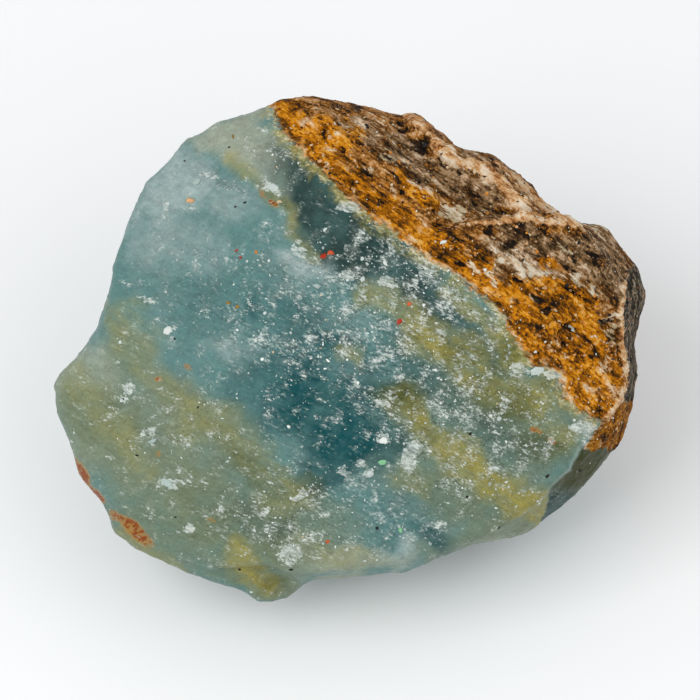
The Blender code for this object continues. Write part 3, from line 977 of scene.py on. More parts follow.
    def _mark_crust(self, grid: Grid) -> None:
        """Write the fields that colour the crust and the narrow dark side, and its painted shade.

        Args:
            grid: The mesh.
        """
        at, place, flank = self.fields["at"], self.fields["place"], self.fields["flank"]
        rind, up = self.fields["rind"], at[:, 1]
        patch = self.noise.layered(at + 360, 1.5, 3, 0.65)
        bed = self._drawn_out(self.fields["bend"], -36, (6.0, 1.6, 2.2), 0.6)
        stir = 0.45 * bed + 0.27 * patch
        low = ramp(up + 0.8 * patch, -4.5, -6.5)
        shallow = ramp(at[:, 2] + 3.0 * patch + 1.5 * self.fields["puff"], -11.0, -5.0)
        amber = np.maximum(Zones.ovals(place, Zones.AMBER), ramp(rind + 0.9 * patch, 4.8, 1.0))
        amber = self._joined("amber", amber * (1 - flank)) + flank * low
        grid.mark("amber", amber - 0.8 * stir)
        grid.mark("grey", self._joined("grey", Zones.ovals(place, Zones.GREY)) + stir)
        bloom = self._joined("bloom", Zones.ovals(place, Zones.BLOOM))
        grid.mark("bloom", 0.8 * bloom + 0.36 * patch)
        salmon = 1.3 * self.fields["salmon"] + 0.5 * ramp(bed, 0.1, 0.8)
        grid.mark("salmon", salmon + 0.2 * patch - 0.12)
        grid.mark("bed", level(bed))
        grid.mark("patch", level(patch))
        grid.mark("pit", self.fields["pit"])
        grid.mark("side", flank * (1 - low) * shallow)
        # Painted shade: the narrow side is darkened from about v -6.5 mm down to v -15 mm, by up to 42 %.
        grid.mark("shade", 0.42 * flank * low * ramp(up, -17.0, -15.0))
        grid.mark("rind", rind + 0.3 * self.noise.layered(at + 410, 1.2, 3, 0.7))

    @staticmethod
    def _mark_hollows(grid: Grid) -> None:
        """Write how hollow the surface is at each point, negative where it bulges. The colours read it for
        painted shade in hollows and painted light on bulges.

        Args:
            grid: The mesh.
        """
        points = grid.read("co") / MM
        ends = points[grid.edges]
        length = np.linalg.norm(ends[:, 0] - ends[:, 1], axis=1)
        reach = np.bincount(grid.edges.ravel(), np.repeat(length, 2), len(points)) / grid.degree
        bent = np.einsum("ij,ij->i", grid.mean_round(points) - points, grid.read("normal")) / reach**2
        grid.mark("hollow", grid.smooth(np.clip(bent, -1.5, 1.5), 2))

    def _unwrap(self, grid: Grid) -> None:
        """Lay the surface out flat in six charts, the blue face the largest.

        Args:
            grid: The mesh.
        """
        corner = np.empty(len(grid.mesh.loops), np.int32)
        start, total = (np.empty(len(grid.mesh.polygons), np.int32) for _ in range(2))
        grid.mesh.loops.foreach_get("vertex_index", corner)
        grid.mesh.polygons.foreach_get("loop_start", start)
        grid.mesh.polygons.foreach_get("loop_total", total)
        normal = grid.smooth(grid.read("normal") @ FACE.turn(), 40)
        normal = np.add.reduceat(normal[corner], start)
        axis = np.abs(normal).argmax(axis=1)
        chart = np.repeat(2 * axis + (normal[np.arange(len(axis)), axis] > 0), total)
        at = FACE.inward(grid.read("co"))[corner]
        places = np.zeros((len(corner), 2))
        spare = 1.0
        base = 0.0
        for shelf in self.SHELVES:
            left = top = 0.0
            for side, across, upward, scale in shelf:
                own = chart == side
                flat = at[own][:, (across, upward)] * scale
                places[own] = flat - flat.min(axis=0) + (left, base)
                left = places[own][:, 0].max() + spare
                top = max(top, places[own][:, 1].max())
            base = top + spare
        keep_map(grid.mesh, places)


class Tint(Enum):
    """Colours of the loose grains."""

    WHITE = paint(222, 226, 220)
    PALE = paint(194, 204, 198)
    MILK = paint(162, 178, 172)
    CREAM = paint(208, 186, 150)
    PEACH = paint(206, 158, 110)
    ORANGE = paint(206, 128, 28)
    OCHRE = paint(142, 110, 12)
    RED = paint(166, 42, 12)
    SCARLET = paint(196, 78, 36)
    MINT = paint(136, 200, 148)
    BROWN = paint(96, 58, 20)
    BLACK = paint(16, 15, 13)


@dataclass(frozen=True)
class Strewn:
    """One kind of grain that is strewn by a seeded draw.

    Attributes:
        count: How many there are.
        half: Their usual half length, in mm.
        spread: How widely the lengths scatter about it.
        slim: How slender the slimmest are.
        tints: Share of each tint.
    """

    count: int
    half: float
    spread: float
    slim: float
    tints: Mapping[Tint, float]


@dataclass
class Grains:
    """Loose crumbs, chips and mineral grains, each a small broken plate set in the surface.

    Attributes:
        stone: The carved stone's maker, whose fields say where grains lie.
        body: The carved stone.
        crumbs: The pale crumbs on the blue stone.
        bits: The grains on the crust.
        corners: Corners of a plate.
        sunk: Share of a plate's thickness that sits in the stone.
        lengths: The shortest and the longest half length of a strewn grain, in mm.
        thick: The least and the most thickness of a plate, in mm.
        bearing: Direction that strewn grains lie in, and its scatter, in degrees.
        clear: Height above the ground and distance from the face's outline that stay
            free of strewn grains, in mm.
        maker: The seeded draw.
    """

    stone: Stone
    body: bpy.types.Object
    crumbs: Strewn = field(default_factory=lambda: Strewn(
        1900, 0.110, 0.45, 1.8, {Tint.WHITE: 0.24, Tint.PALE: 0.38, Tint.MILK: 0.35, Tint.CREAM: 0.03}
    ))
    bits: Strewn = field(default_factory=lambda: Strewn(2100, 0.120, 0.42, 2.2, {
        Tint.CREAM: 0.22, Tint.PEACH: 0.18, Tint.WHITE: 0.06, Tint.ORANGE: 0.16, Tint.BROWN: 0.14,
        Tint.BLACK: 0.24,
    }))
    corners: int = 6
    sunk: float = 0.5
    lengths: tuple[float, float] = (0.07, 0.42)
    thick: tuple[float, float] = (0.05, 0.13)
    bearing: tuple[float, float] = (-34, 40)
    clear: tuple[float, float] = (1.2, 0.5)
    maker: np.random.Generator = field(default_factory=lambda: np.random.default_rng(29))

    CHIP_SCALE: ClassVar[float] = 1.25
    # Chips that the photograph shows one by one: u, v, half length, half width, bearing, tint.
    KNOWN: ClassVar[tuple] = (
        (-3.0, 10.2, 0.39, 0.28, 20, Tint.RED), (-2.2, 10.5, 0.39, 0.24, -20, Tint.SCARLET),
        (5.3, 3.2, 0.33, 0.33, 0, Tint.RED), (-12.0, 10.1, 0.22, 0.18, 0, Tint.RED),
        (-12.5, 10.9, 0.26, 0.13, 40, Tint.RED), (6.3, 5.1, 0.29, 0.22, 0, Tint.SCARLET),
        (-2.4, -20.9, 0.29, 0.22, 0, Tint.SCARLET), (-10.3, 10.6, 0.22, 0.22, 0, Tint.ORANGE),
        (-17.8, 16.4, 0.49, 0.29, 0, Tint.PEACH), (-13.3, 5.3, 0.33, 0.22, 0, Tint.OCHRE),
        (-12.4, 4.7, 0.29, 0.22, -20, Tint.OCHRE), (-12.8, 23.5, 0.11, 0.28, 0, Tint.OCHRE),
        (-16.8, 18.3, 0.55, 0.39, 15, Tint.MILK), (-2.6, 13.0, 0.33, 0.18, 50, Tint.PALE),
        (-19.9, 2.2, 0.49, 0.44, 40, Tint.WHITE), (24.8, 2.5, 0.66, 0.28, -50, Tint.PALE),
        (10.1, 11.8, 0.39, 0.22, 0, Tint.WHITE), (3.5, -12.2, 0.44, 0.33, -10, Tint.MINT),
        (5.6, -19.8, 0.22, 0.33, 10, Tint.MINT), (-18.3, 20.8, 0.13, 0.11, 0, Tint.BLACK),
        (-13.3, 22.3, 0.13, 0.11, 0, Tint.BLACK), (-11.6, 16.1, 0.20, 0.15, 0, Tint.BLACK),
        (-12.4, 15.7, 0.17, 0.13, 0, Tint.BLACK), (-19.1, 1.2, 0.13, 0.13, 0, Tint.BLACK),
        (-24.8, -5.4, 0.13, 0.13, 0, Tint.BLACK), (-23.4, -11.4, 0.20, 0.13, 0, Tint.BLACK),
        (-16.7, -6.2, 0.14, 0.14, 0, Tint.BLACK), (-19.1, -18.3, 0.20, 0.11, 0, Tint.BLACK),
        (-12.2, -24.1, 0.17, 0.13, 0, Tint.BLACK), (-6.4, -24.1, 0.28, 0.13, 30, Tint.BLACK),
        (3.0, -19.6, 0.24, 0.24, 0, Tint.BLACK), (16.3, -19.5, 0.22, 0.17, 0, Tint.BLACK),
        (12.9, -16.1, 0.18, 0.15, 0, Tint.BLACK), (13.2, -9.1, 0.20, 0.20, 0, Tint.BLACK),
        (21.8, -14.0, 0.33, 0.17, 50, Tint.BLACK), (25.3, -13.3, 0.18, 0.18, 0, Tint.BLACK),
        (3.7, -9.9, 0.60, 0.40, -15, Tint.WHITE), (2.1, -13.4, 0.38, 0.38, 0, Tint.PALE),
        (1.4, -12.2, 0.40, 0.28, 30, Tint.PALE), (-20.0, -14.6, 0.85, 0.50, -28, Tint.MILK),
        (-8.5, 17.6, 1.00, 0.42, -32, Tint.PALE), (20.4, -2.4, 0.80, 0.45, -10, Tint.PALE),
        (-7.8, 16.2, 0.42, 0.20, -30, Tint.CREAM), (-21.6, -9.9, 0.55, 0.25, 25, Tint.MILK),
    )

    def build(self) -> bpy.types.Object:
        """Make all grains as one mesh.

        Returns:
            The piece, not yet dressed.
        """
        grid = Grid(self.body.data)
        points = grid.read("co") / MM
        normals = grid.smooth(grid.read("normal"), 2)
        fields = self.stone.fields
        dry = (points[:, 2] > self.clear[0]) & (fields["rim"] > self.clear[1])
        pale = dry * (1 - fields["crust"]) * (0.02 + fields["hurt"] ** 2)
        rough = dry * fields["crust"] * (fields["rind"] > 0.4)
        drawn = [self._known(), self._strewn(self.crumbs, pale), self._strewn(self.bits, rough)]
        spots, sizes, bearings, tints = (np.concatenate(column) for column in zip(*drawn))
        return self._plates(points[spots], normals[spots], sizes, bearings, tints)

    def _known(self) -> tuple[Array, Array, Array, Array]:
        """Find the mesh points nearest to the chips that the photograph shows one by one.

        Returns:
            Each chip's point, size, bearing and tint.
        """
        at = self.stone.fields["at"]
        hidden = self.stone.fields["normal"][:, 2] <= 0.1
        spots = [
            int(np.argmin(np.hypot(at[:, 0] - row[0], at[:, 1] - row[1]) + 99 * hidden))
            for row in self.KNOWN
        ]
        sizes = self.CHIP_SCALE * np.array([row[2:4] for row in self.KNOWN])
        bearings = np.array([float(row[4]) for row in self.KNOWN])
        tints = np.array([row[5].value for row in self.KNOWN])
        return np.array(spots), sizes, bearings, tints

    def _strewn(self, kind: Strewn, weight: Array) -> tuple[Array, Array, Array, Array]:
        """Draw the strewn grains of one kind.

        Args:
            kind: The kind.
            weight: How likely each mesh point is to carry one.

        Returns:
            Each grain's point, size, bearing and tint.
        """
        draw, count = self.maker, kind.count
        spots = draw.choice(len(weight), count, replace=False, p=weight / weight.sum())
        half = np.clip(kind.half * np.exp(kind.spread * draw.normal(size=count)), *self.lengths)
        slim = half / (1 + kind.slim * draw.random(count) ** 1.5)
        bearings = self.bearing[0] + self.bearing[1] * draw.normal(size=count)
        palette = np.array([tint.value for tint in kind.tints])
        picks = draw.choice(len(palette), count, p=list(kind.tints.values()))
        return spots, np.stack([half, slim], axis=1), bearings, palette[picks]

    def _plates(
        self, places: Array, normals: Array, sizes: Array, bearings: Array, tints: Array
    ) -> bpy.types.Object:
        """Build one closed irregular plate at each place.

        Args:
            places: Where they lie, in mm.
            normals: Which way the surface looks there.
            sizes: Half length and half width, in mm.
            bearings: Direction of the length on the face, in degrees.
            tints: Their colours.

        Returns:
            The piece.
        """
        count, sides = len(places), self.corners
        out, long, wide = self._axes(normals, bearings)
        step = 2 * np.pi / sides
        angle = step * (np.arange(sides) + 0.6 * (self.maker.random((count, sides)) - 0.5))
        reach = 0.62 + 0.55 * self.maker.random((count, sides))
        ring = (np.cos(angle) * reach * sizes[:, :1])[:, :, None] * long[:, None]
        ring += (np.sin(angle) * reach * sizes[:, 1:])[:, :, None] * wide[:, None]
        high = np.clip(0.55 * sizes[:, 1], *self.thick)[:, None, None] * out[:, None]
        slope = 1 + 0.5 * (self.maker.random((count, sides, 1)) - 0.5)
        top = places[:, None] + 0.78 * ring + high * (1 - self.sunk) * slope
        base = places[:, None] + ring - high * self.sunk
        crown = top.mean(axis=1, keepdims=True) + 0.12 * high
        foot = base.mean(axis=1, keepdims=True)
        points = in_box(np.concatenate([top, base, crown, foot], axis=1) * MM)
        faces = self._faces()
        each = points.shape[1]
        every = (faces[None] + each * np.arange(count)[:, None, None]).reshape(-1, 3)
        mesh = bpy.data.meshes.new("loose_grains")
        mesh.from_pydata(points.reshape(-1, 3).tolist(), [], every.tolist())
        colour = mesh.attributes.new("tint", "FLOAT_COLOR", "POINT")
        shade = 0.82 + 0.28 * self.maker.random((count, 1))
        shaded = np.concatenate([tints[:, :3] * shade, tints[:, 3:]], axis=1)
        colour.data.foreach_set("color", np.repeat(shaded, each, axis=0).astype(np.float32).ravel())
        self._unwrap(mesh, faces, count)
        piece = bpy.data.objects.new("loose_grains", mesh)
        bpy.context.scene.collection.objects.link(piece)
        return piece

    def _axes(self, normals: Array, bearings: Array) -> tuple[Array, Array, Array]:
        """Give each plate's own directions.

        Args:
            normals: Which way the surface looks there.
            bearings: Direction of the length on the face, in degrees.

        Returns:
            Out of the stone, leaning a little, along the plate and across it.
        """
        turn, angle = FACE.turn(), np.radians(bearings)
        lean = 0.16 * self.maker.normal(size=normals.shape)
        out = normals / np.linalg.norm(normals, axis=1, keepdims=True) + lean
        out /= np.linalg.norm(out, axis=1, keepdims=True)
        long = np.cos(angle)[:, None] * turn[:, 0] + np.sin(angle)[:, None] * turn[:, 1]
        long = long - np.einsum("ij,ij->i", long, out)[:, None] * out
        long /= np.maximum(np.linalg.norm(long, axis=1, keepdims=True), 1e-6)
        return out, long, np.cross(out, long)

    def _faces(self) -> Array:
        """Give one plate's triangles: the top, the sides and last the hidden underside.

        Its points are the top's ring, the base's ring, the top's middle and the base's.

        Returns:
            The three points of each triangle.
        """
        sides = self.corners
        own = np.arange(sides)
        after = (own + 1) % sides
        crown = np.full(sides, 2 * sides)
        return np.concatenate([
            np.stack([own, after, crown], axis=1),
            np.stack([own, own + sides, after + sides], axis=1),
            np.stack([own, after + sides, after], axis=1),
            np.stack([after + sides, own + sides, crown + 1], axis=1),
        ])

    def _unwrap(self, mesh: bpy.types.Mesh, faces: Array, count: int) -> None:
        """Lay every plate out in a square of its own, its top and sides as one star.

        Args:
            mesh: The mesh of all plates.
            faces: One plate's faces, the hidden underside last.
            count: How many plates there are.
        """
        turn = 2 * np.pi * np.arange(self.corners) / self.corners
        ring = np.stack([np.cos(turn), np.sin(turn)], axis=1)
        middle = np.zeros((2, 2))
        seen = np.concatenate([0.28 * ring, 0.45 * ring, middle]) + 0.5
        hidden = np.concatenate([0.09 * ring, 0.09 * ring, middle]) + 0.1
        underside = np.arange(len(faces))[:, None, None] >= 3 * self.corners
        own = np.where(underside, hidden[faces], seen[faces])
        cell = np.stack(np.divmod(np.arange(count), math.ceil(math.sqrt(count))), axis=1)
        keep_map(mesh, (own.reshape(1, -1, 2) + cell[:, None]).reshape(-1, 2) + 1e-3)


class Signal:
    """A number in a node tree, with Python's operators as Math nodes."""

    def __init__(self, shader: "Shader", socket: bpy.types.NodeSocket) -> None:
        """Hold a socket of a shader's tree."""
        self.shader = shader
        self.socket = socket

    def _math(self, operation: str, *values: "Signal | float", clamp: bool = False) -> "Signal":
        """Add one Math node.

        Args:
            operation: The node's operation.
            *values: Its inputs in order.
            clamp: Whether the result is held between 0 and 1.

        Returns:
            The result.
        """
        settings = {"operation": operation, "use_clamp": clamp}
        node = self.shader.add("ShaderNodeMath", settings, dict(enumerate(values)))
        return Signal(self.shader, node.outputs[0])

    def __add__(self, other: "Signal | float") -> "Signal":
        """Add."""
        return self._math("ADD", self, other)

    def __radd__(self, other: float) -> "Signal":
        """Add to a number."""
        return self._math("ADD", other, self)

    def __sub__(self, other: "Signal | float") -> "Signal":
        """Subtract."""
        return self._math("SUBTRACT", self, other)

    def __rsub__(self, other: float) -> "Signal":
        """Subtract from a number."""
        return self._math("SUBTRACT", other, self)

    def __mul__(self, other: "Signal | float") -> "Signal":
        """Multiply."""
        return self._math("MULTIPLY", self, other)

    def __rmul__(self, other: float) -> "Signal":
        """Multiply a number."""
        return self._math("MULTIPLY", other, self)

    def __abs__(self) -> "Signal":
        """Drop the sign."""
        return self._math("ABSOLUTE", self)

    def held(self) -> "Signal":
        """Hold between 0 and 1."""
        return self._math("ADD", self, 0.0, clamp=True)

    def swing(self, reach: float) -> "Signal":
        """Give its swing about a half, times a reach."""
        return (self - 0.5) * reach

    def over(self, other: "Signal | float") -> "Signal":
        """Take the larger of the two."""
        return self._math("MAXIMUM", self, other)

    def ease(self, low: float, high: float) -> "Signal":
        """Rise smoothly from 0 at low to 1 at high, or fall where high is below low.

        Args:
            low: Where the rise starts.
            high: Where it ends.

        Returns:
            The eased share.
        """
        if high < low:
            return 1 - self.ease(high, low)
        sockets = {"Value": self, "From Min": low, "From Max": high}
        node = self.shader.add("ShaderNodeMapRange", {"interpolation_type": "SMOOTHSTEP"}, sockets)
        return Signal(self.shader, node.outputs["Result"])


class Grain(Enum):
    """Directions that the stone's grain runs in, in degrees on the face."""

    CRUST = -36
    SIDE = 82
    SWEEP = -24
    CROSS = 38


class Shader:
    """A node material, built from expressions."""

    def __init__(self, name: str) -> None:
        """Start a material with a Principled surface.

        Args:
            name: The material's name.
        """
        self.material = bpy.data.materials.new(name)
        self.material.use_nodes = True
        self.tree = self.material.node_tree
        self.tree.nodes.clear()
        self.surface = self.add("ShaderNodeBsdfPrincipled")
        self.add("ShaderNodeOutputMaterial", None, {"Surface": self.surface.outputs["BSDF"]})
        face = {
            "Vector": self.add("ShaderNodeTexCoord").outputs["Object"],
            "Location": FACE.origin,
            "Rotation": (math.radians(FACE.lean), 0, 0),
            "Scale": (MM,) * 3,
        }
        self.place = self.add("ShaderNodeMapping", {"vector_type": "TEXTURE"}, face).outputs["Vector"]

    def add(
        self,
        kind: str,
        settings: Mapping[str, object] | None = None,
        sockets: Mapping[str | int, object] | None = None,
    ) -> bpy.types.Node:
        """Add one node.

        Args:
            kind: The node's type.
            settings: Its own settings, set first. "stops" gives a ramp's stops.
            sockets: Values or links of its input sockets.

        Returns:
            The node.
        """
        node = self.tree.nodes.new(kind)
        for key, value in (settings or {}).items():
            if key == "stops":
                self._stops(node, value)
            else:
                setattr(node, key, value)
        self._feed(node, sockets or {})
        return node

    def _feed(self, node: bpy.types.Node, sockets: Mapping[str | int, object]) -> None:
        """Set or link a node's input sockets.

        Args:
            node: The node.
            sockets: Each socket's name or number, with its value or what feeds it.
        """
        for key, value in sockets.items():
            if isinstance(value, Signal):
                value = value.socket
            if isinstance(value, bpy.types.NodeSocket):
                self.tree.links.new(value, node.inputs[key])
            else:
                node.inputs[key].default_value = value

    @staticmethod
    def _stops(node: bpy.types.Node, stops: Stops) -> None:
        """Set a ramp's stops.

        Args:
            node: The ramp.
            stops: Each stop's place and colour.
        """
        elements = node.color_ramp.elements
        while len(elements) < len(stops):
            elements.new(0.5)
        for element, (position, colour) in zip(elements, stops):
            element.position = position
            element.color = colour

    def mark(self, name: str) -> Signal:
        """Read one of the mesh's own numbers."""
        node = self.add("ShaderNodeAttribute", {"attribute_name": name})
        return Signal(self, node.outputs["Fac"])

    def grain(self, bearing: Grain, sizes: tuple[float, float, float]) -> bpy.types.NodeSocket:
        """Give coordinates stretched along a grain, counted in the given sizes in mm."""
        sockets = {"Vector": self.place, "Rotation": (0, 0, math.radians(bearing.value)), "Scale": sizes}
        return self.add("ShaderNodeMapping", {"vector_type": "TEXTURE"}, sockets).outputs["Vector"]

    def noise(
        self, size: float, detail: float, rough: float, at: bpy.types.NodeSocket | None = None
    ) -> Signal:
        """Add fractal noise, from 0 to 1 with a mean of a half.

        Args:
            size: Width of a wave in mm, or in the units of at.
            detail: How many finer layers.
            rough: Strength of the finer layers.
            at: Coordinates, the plain face frame if left out.

        Returns:
            The noise.
        """
        sockets = {"Vector": at or self.place, "Scale": 1 / size, "Detail": detail, "Roughness": rough}
        return Signal(self, self.add("ShaderNodeTexNoise", None, sockets).outputs["Fac"])

    def cells(self, size: float, at: bpy.types.NodeSocket) -> Signal:
        """Add scattered cells, a random number from 0 to 1 in each.

        Args:
            size: Width of a cell, in the units of at.
            at: Coordinates.

        Returns:
            The cells' numbers.
        """
        node = self.add("ShaderNodeTexVoronoi", None, {"Vector": at, "Scale": 1 / size})
        split = self.add("ShaderNodeSeparateColor", None, {"Color": node.outputs["Color"]})
        return Signal(self, split.outputs["Red"])

    def crumpled(self, at: bpy.types.NodeSocket, size: float, reach: float) -> bpy.types.NodeSocket:
        """Shift coordinates by fine noise, so that cells read there get ragged edges.

        Args:
            at: The coordinates.
            size: Width of the noise's waves, in their units.
            reach: How far it shifts them.

        Returns:
            The new coordinates.
        """
        sockets = {"Vector": at, "Scale": 1 / size, "Detail": 1.0, "Roughness": 0.6}
        shift = self.add("ShaderNodeTexNoise", None, sockets).outputs["Color"]
        sockets = {0: shift, 1: (reach,) * 3, 2: at}
        return self.add("ShaderNodeVectorMath", {"operation": "MULTIPLY_ADD"}, sockets).outputs["Vector"]

    def grit(self, size: float, at: bpy.types.NodeSocket) -> Signal:
        """Add angular grit, from 0 to 1 with a mean of a half.

        Args:
            size: Width of a grain, in the units of at.
            at: Coordinates.

        Returns:
            The grit.
        """
        cells = self.cells(size, self.crumpled(at, size * 1.2, size * 1.1))
        return self.noise(size * 2.2, 4, 0.75, at) * 0.62 + cells * 0.38

    def ramp(self, value: Signal, stops: Stops) -> bpy.types.NodeSocket:
        """Turn a number into a colour by a ramp's stops."""
        return self.add("ShaderNodeValToRGB", {"stops": stops}, {"Fac": value}).outputs["Color"]

    def mix(
        self, share: Signal, under: Colour | bpy.types.NodeSocket, over: Colour | bpy.types.NodeSocket
    ) -> bpy.types.NodeSocket:
        """Mix two colours.

        Args:
            share: How much of the second shows.
            under: The first colour or a link.
            over: The second colour or a link.

        Returns:
            The mixed colour.
        """
        # The Mix node's sockets share names, so its colour inputs and output go by number.
        node = self.add("ShaderNodeMix", {"data_type": "RGBA"}, {0: share, 6: under, 7: over})
        return node.outputs[2]

    def scaled(self, colour: bpy.types.NodeSocket, by: Signal) -> bpy.types.NodeSocket:
        """Multiply a colour by a number."""
        node = self.add("ShaderNodeVectorMath", {"operation": "SCALE"}, {"Vector": colour, "Scale": by})
        return node.outputs["Vector"]

    def bump(self, height: Signal, depth: float) -> bpy.types.NodeSocket:
        """Turn a height into a normal, depth being the height's real size in mm."""
        sockets = {"Height": height, "Distance": depth * MM, "Strength": 1.0}
        return self.add("ShaderNodeBump", None, sockets).outputs["Normal"]

    def finish(self, sockets: Mapping[str, object]) -> bpy.types.Material:
        """Set the surface's sockets and give the material."""
        self._feed(self.surface, sockets)
        return self.material


@dataclass(frozen=True)
class OnyxFinish:
    """Cloudy blue onyx with white bruises, and the fibrous amber crust that it grew in.

    A half is the middle of every noise, and ease() cuts patches out of it. The weights and
    cuts in the methods are given one by one.
    """

    polish: float = 0.36
    crust_rough: float = 0.74
    shine: float = 0.12
    bump_depth: float = 0.22
    teal: Colour = paint(90, 128, 125)
    # Pale frosted calcite; where its cover lies on the top-left facet and the thin edges, it is also
    # painted light.
    frost: Colour = paint(150, 168, 165)
    deep: Colour = paint(2, 74, 78)
    slate: Colour = paint(36, 62, 58)
    moss: Colour = paint(112, 124, 98)
    sage: Colour = paint(152, 160, 142)
    straw: Colour = paint(150, 142, 74)
    olive: Colour = paint(76, 82, 38)
    bruise: Colour = paint(188, 197, 190)
    chalk: Colour = paint(222, 226, 219)
    cream: Colour = paint(204, 192, 150)
    rust: Colour = paint(174, 120, 34)
    red: Colour = paint(124, 46, 6)
    black: Colour = paint(18, 15, 12)
    amber: Stops = shades(
        (0.20, 24, 16, 2), (0.34, 86, 50, 0), (0.47, 150, 88, 0), (0.60, 202, 126, 2),
        (0.76, 222, 160, 54), (0.94, 228, 198, 144),
    )
    grey: Stops = shades(
        (0.20, 22, 15, 7), (0.35, 68, 48, 26), (0.50, 112, 84, 52), (0.64, 150, 118, 82),
        (0.78, 186, 154, 120), (0.92, 212, 192, 164),
    )
    earth: Stops = shades(
        (0.20, 24, 15, 4), (0.35, 84, 50, 12), (0.50, 138, 88, 30), (0.64, 178, 124, 64),
        (0.78, 204, 160, 112), (0.92, 220, 196, 160),
    )
    salmon: Stops = shades(
        (0.20, 90, 54, 22), (0.38, 160, 104, 56), (0.54, 198, 146, 92), (0.72, 218, 184, 142),
        (0.90, 230, 212, 188),
    )
    bloom: Stops = shades(
        (0.22, 40, 32, 20), (0.38, 112, 92, 62), (0.52, 158, 136, 100), (0.68, 188, 170, 136),
        (0.90, 216, 206, 184),
    )
    laminae: Stops = shades(
        (0.36, 14, 12, 10), (0.46, 46, 40, 30), (0.56, 104, 92, 74), (0.68, 150, 134, 112),
        (0.82, 176, 160, 138),
    )

    def material(self) -> bpy.types.Material:
        """Build the stone's material.

        Returns:
            The material.
        """
        s = Shader("blue_onyx")
        speck = s.noise(0.30, 2, 0.6)
        flow = s.crumpled(s.grain(Grain.CRUST, (4.4, 1.0, 1.0)), 1.8, 0.35)
        fibre = s.noise(0.52, 5, 0.74, flow)
        edge = s.mark("rind") + fibre.swing(1.5) + speck.swing(1.1)
        crust = edge.ease(-0.28, 0.34)
        blue, blue_height, bruised = self._blue(s, speck, edge)
        rock, rock_height = self._crust(s, speck, edge, flow, fibre)
        height = blue_height * (1 - crust) + rock_height * crust
        rough = (self.polish + 0.4 * bruised) * (1 - crust) + self.crust_rough * crust
        # The base colour is darkened by the shade mark: painted shade on the narrow side.
        return s.finish({
            "Base Color": s.scaled(s.mix(crust, blue, rock), 1 - s.mark("shade")),
            "Roughness": rough,
            "Specular IOR Level": self.shine,
            "Normal": s.bump(height, self.bump_depth),
        })

    def _blue(self, s: Shader, speck: Signal, edge: Signal) -> tuple[bpy.types.NodeSocket, Signal, Signal]:
        """Build the blue body.

        Args:
            s: The shader.
            speck: Fine noise.
            edge: Ragged distance from the crust's edge, negative on the blue.

        Returns:
            Its colour, its height and how far it is bruised.
        """
        wisp = s.noise(2.2, 4, 0.7, s.grain(Grain.SWEEP, (1.0, 0.24, 0.4)))
        cross = s.noise(1.0, 4, 0.7, s.grain(Grain.CROSS, (1.6, 0.36, 0.5)))
        shards = s.grain(Grain.SWEEP, (1.5, 0.8, 1.0))
        fine = s.grit(0.20, shards)
        coarse = s.grit(0.50, shards)
        puff, hurt = s.mark("puff"), s.mark("hurt")
        colour = s.mix(s.mark("milk"), self.teal, self.frost)
        # The frost mix includes painted light on the top-left facet and the thin bottom edge and left tip.
        for name, tint in (
            ("frost", self.frost), ("sage", self.sage), ("moss", self.moss), ("deep", self.deep),
            ("slate", self.slate), ("straw", self.straw), ("olive", self.olive),
        ):
            colour = s.mix(s.mark(name), colour, tint)
        halo = edge.ease(-1.8, -0.1) * puff.ease(0.3, 0.6)
        colour = s.mix(halo * 0.85, colour, self.straw)
        gaps = (fine - puff.swing(0.3)).ease(0.46, 0.28) * hurt * 0.5
        light = 0.43 + wisp * 0.58 + cross * 0.42 + speck.swing(0.40)
        colour = s.scaled(colour, light * (1 - gaps))
        rust = s.mark("rust")
        stain = (rust + cross.swing(0.8) + speck.swing(0.4)).ease(0.15, 0.85)
        heart = (rust * 0.8 + cross.swing(1.2) + speck.swing(0.5)).ease(0.48, 0.66)
        colour = s.mix(stain * 0.75, colour, self.rust)
        colour = s.mix(heart * 0.85, colour, self.red)
        # The hollow term shifts the pale bruise marks off the hollows and onto the bulges: partly real
        # bruising, partly painted light on ridges and painted shade in hollows.
        lean = hurt * 0.15 + puff.swing(0.6) - s.mark("hollow") * 0.02
        dim = (fine + lean).ease(0.66, 0.90)
        bright = (coarse + lean * 0.7).ease(0.79, 0.82)
        veil = (puff * 0.55 + wisp * 0.45 + hurt * 0.12).ease(0.54, 0.78)
        flake = (s.mark("flake") * 1.4 + coarse.swing(1.7) + fine.swing(0.5)).ease(0.62, 0.72)
        streaky = (0.72 + wisp.swing(2.2) + fine.swing(1.6)).held()
        bruised = (dim * 0.72).over(bright * (0.2 + fine)).over(flake * streaky * 0.8).over(veil * 0.2)
        colour = s.mix(bruised, colour, s.mix(bruised.ease(0.5, 0.95), self.bruise, self.chalk))
        rim = (1 - abs(edge + 0.25) * 1.5).held() * (fine * 0.5 + coarse * 0.5).ease(0.46, 0.66)
        colour = s.mix(rim * 0.85, colour, self.cream)
        height = wisp * 0.4 + cross * 0.25 + speck * 0.5
        return colour, height, bruised

    def _crust(
        self, s: Shader, speck: Signal, edge: Signal, flow: bpy.types.NodeSocket, fibre: Signal
    ) -> tuple[bpy.types.NodeSocket, Signal]:
        """Build the crust.

        Args:
            s: The shader.
            speck: Fine noise.
            edge: Ragged distance from the crust's edge, positive on the crust.
            flow: Coordinates that run along the crust's grain.
            fibre: Noise stretched along that grain.

        Returns:
            Its colour and its height.
        """
        grit = s.grit(0.26, flow)
        upright = s.noise(0.42, 4, 0.7, s.grain(Grain.SIDE, (7.0, 1.0, 1.0)))
        bed, patch, hollow = s.mark("bed"), s.mark("patch"), s.mark("hollow")
        tone = 0.5 + fibre.swing(1.0) + grit.swing(0.8) + speck.swing(0.6)
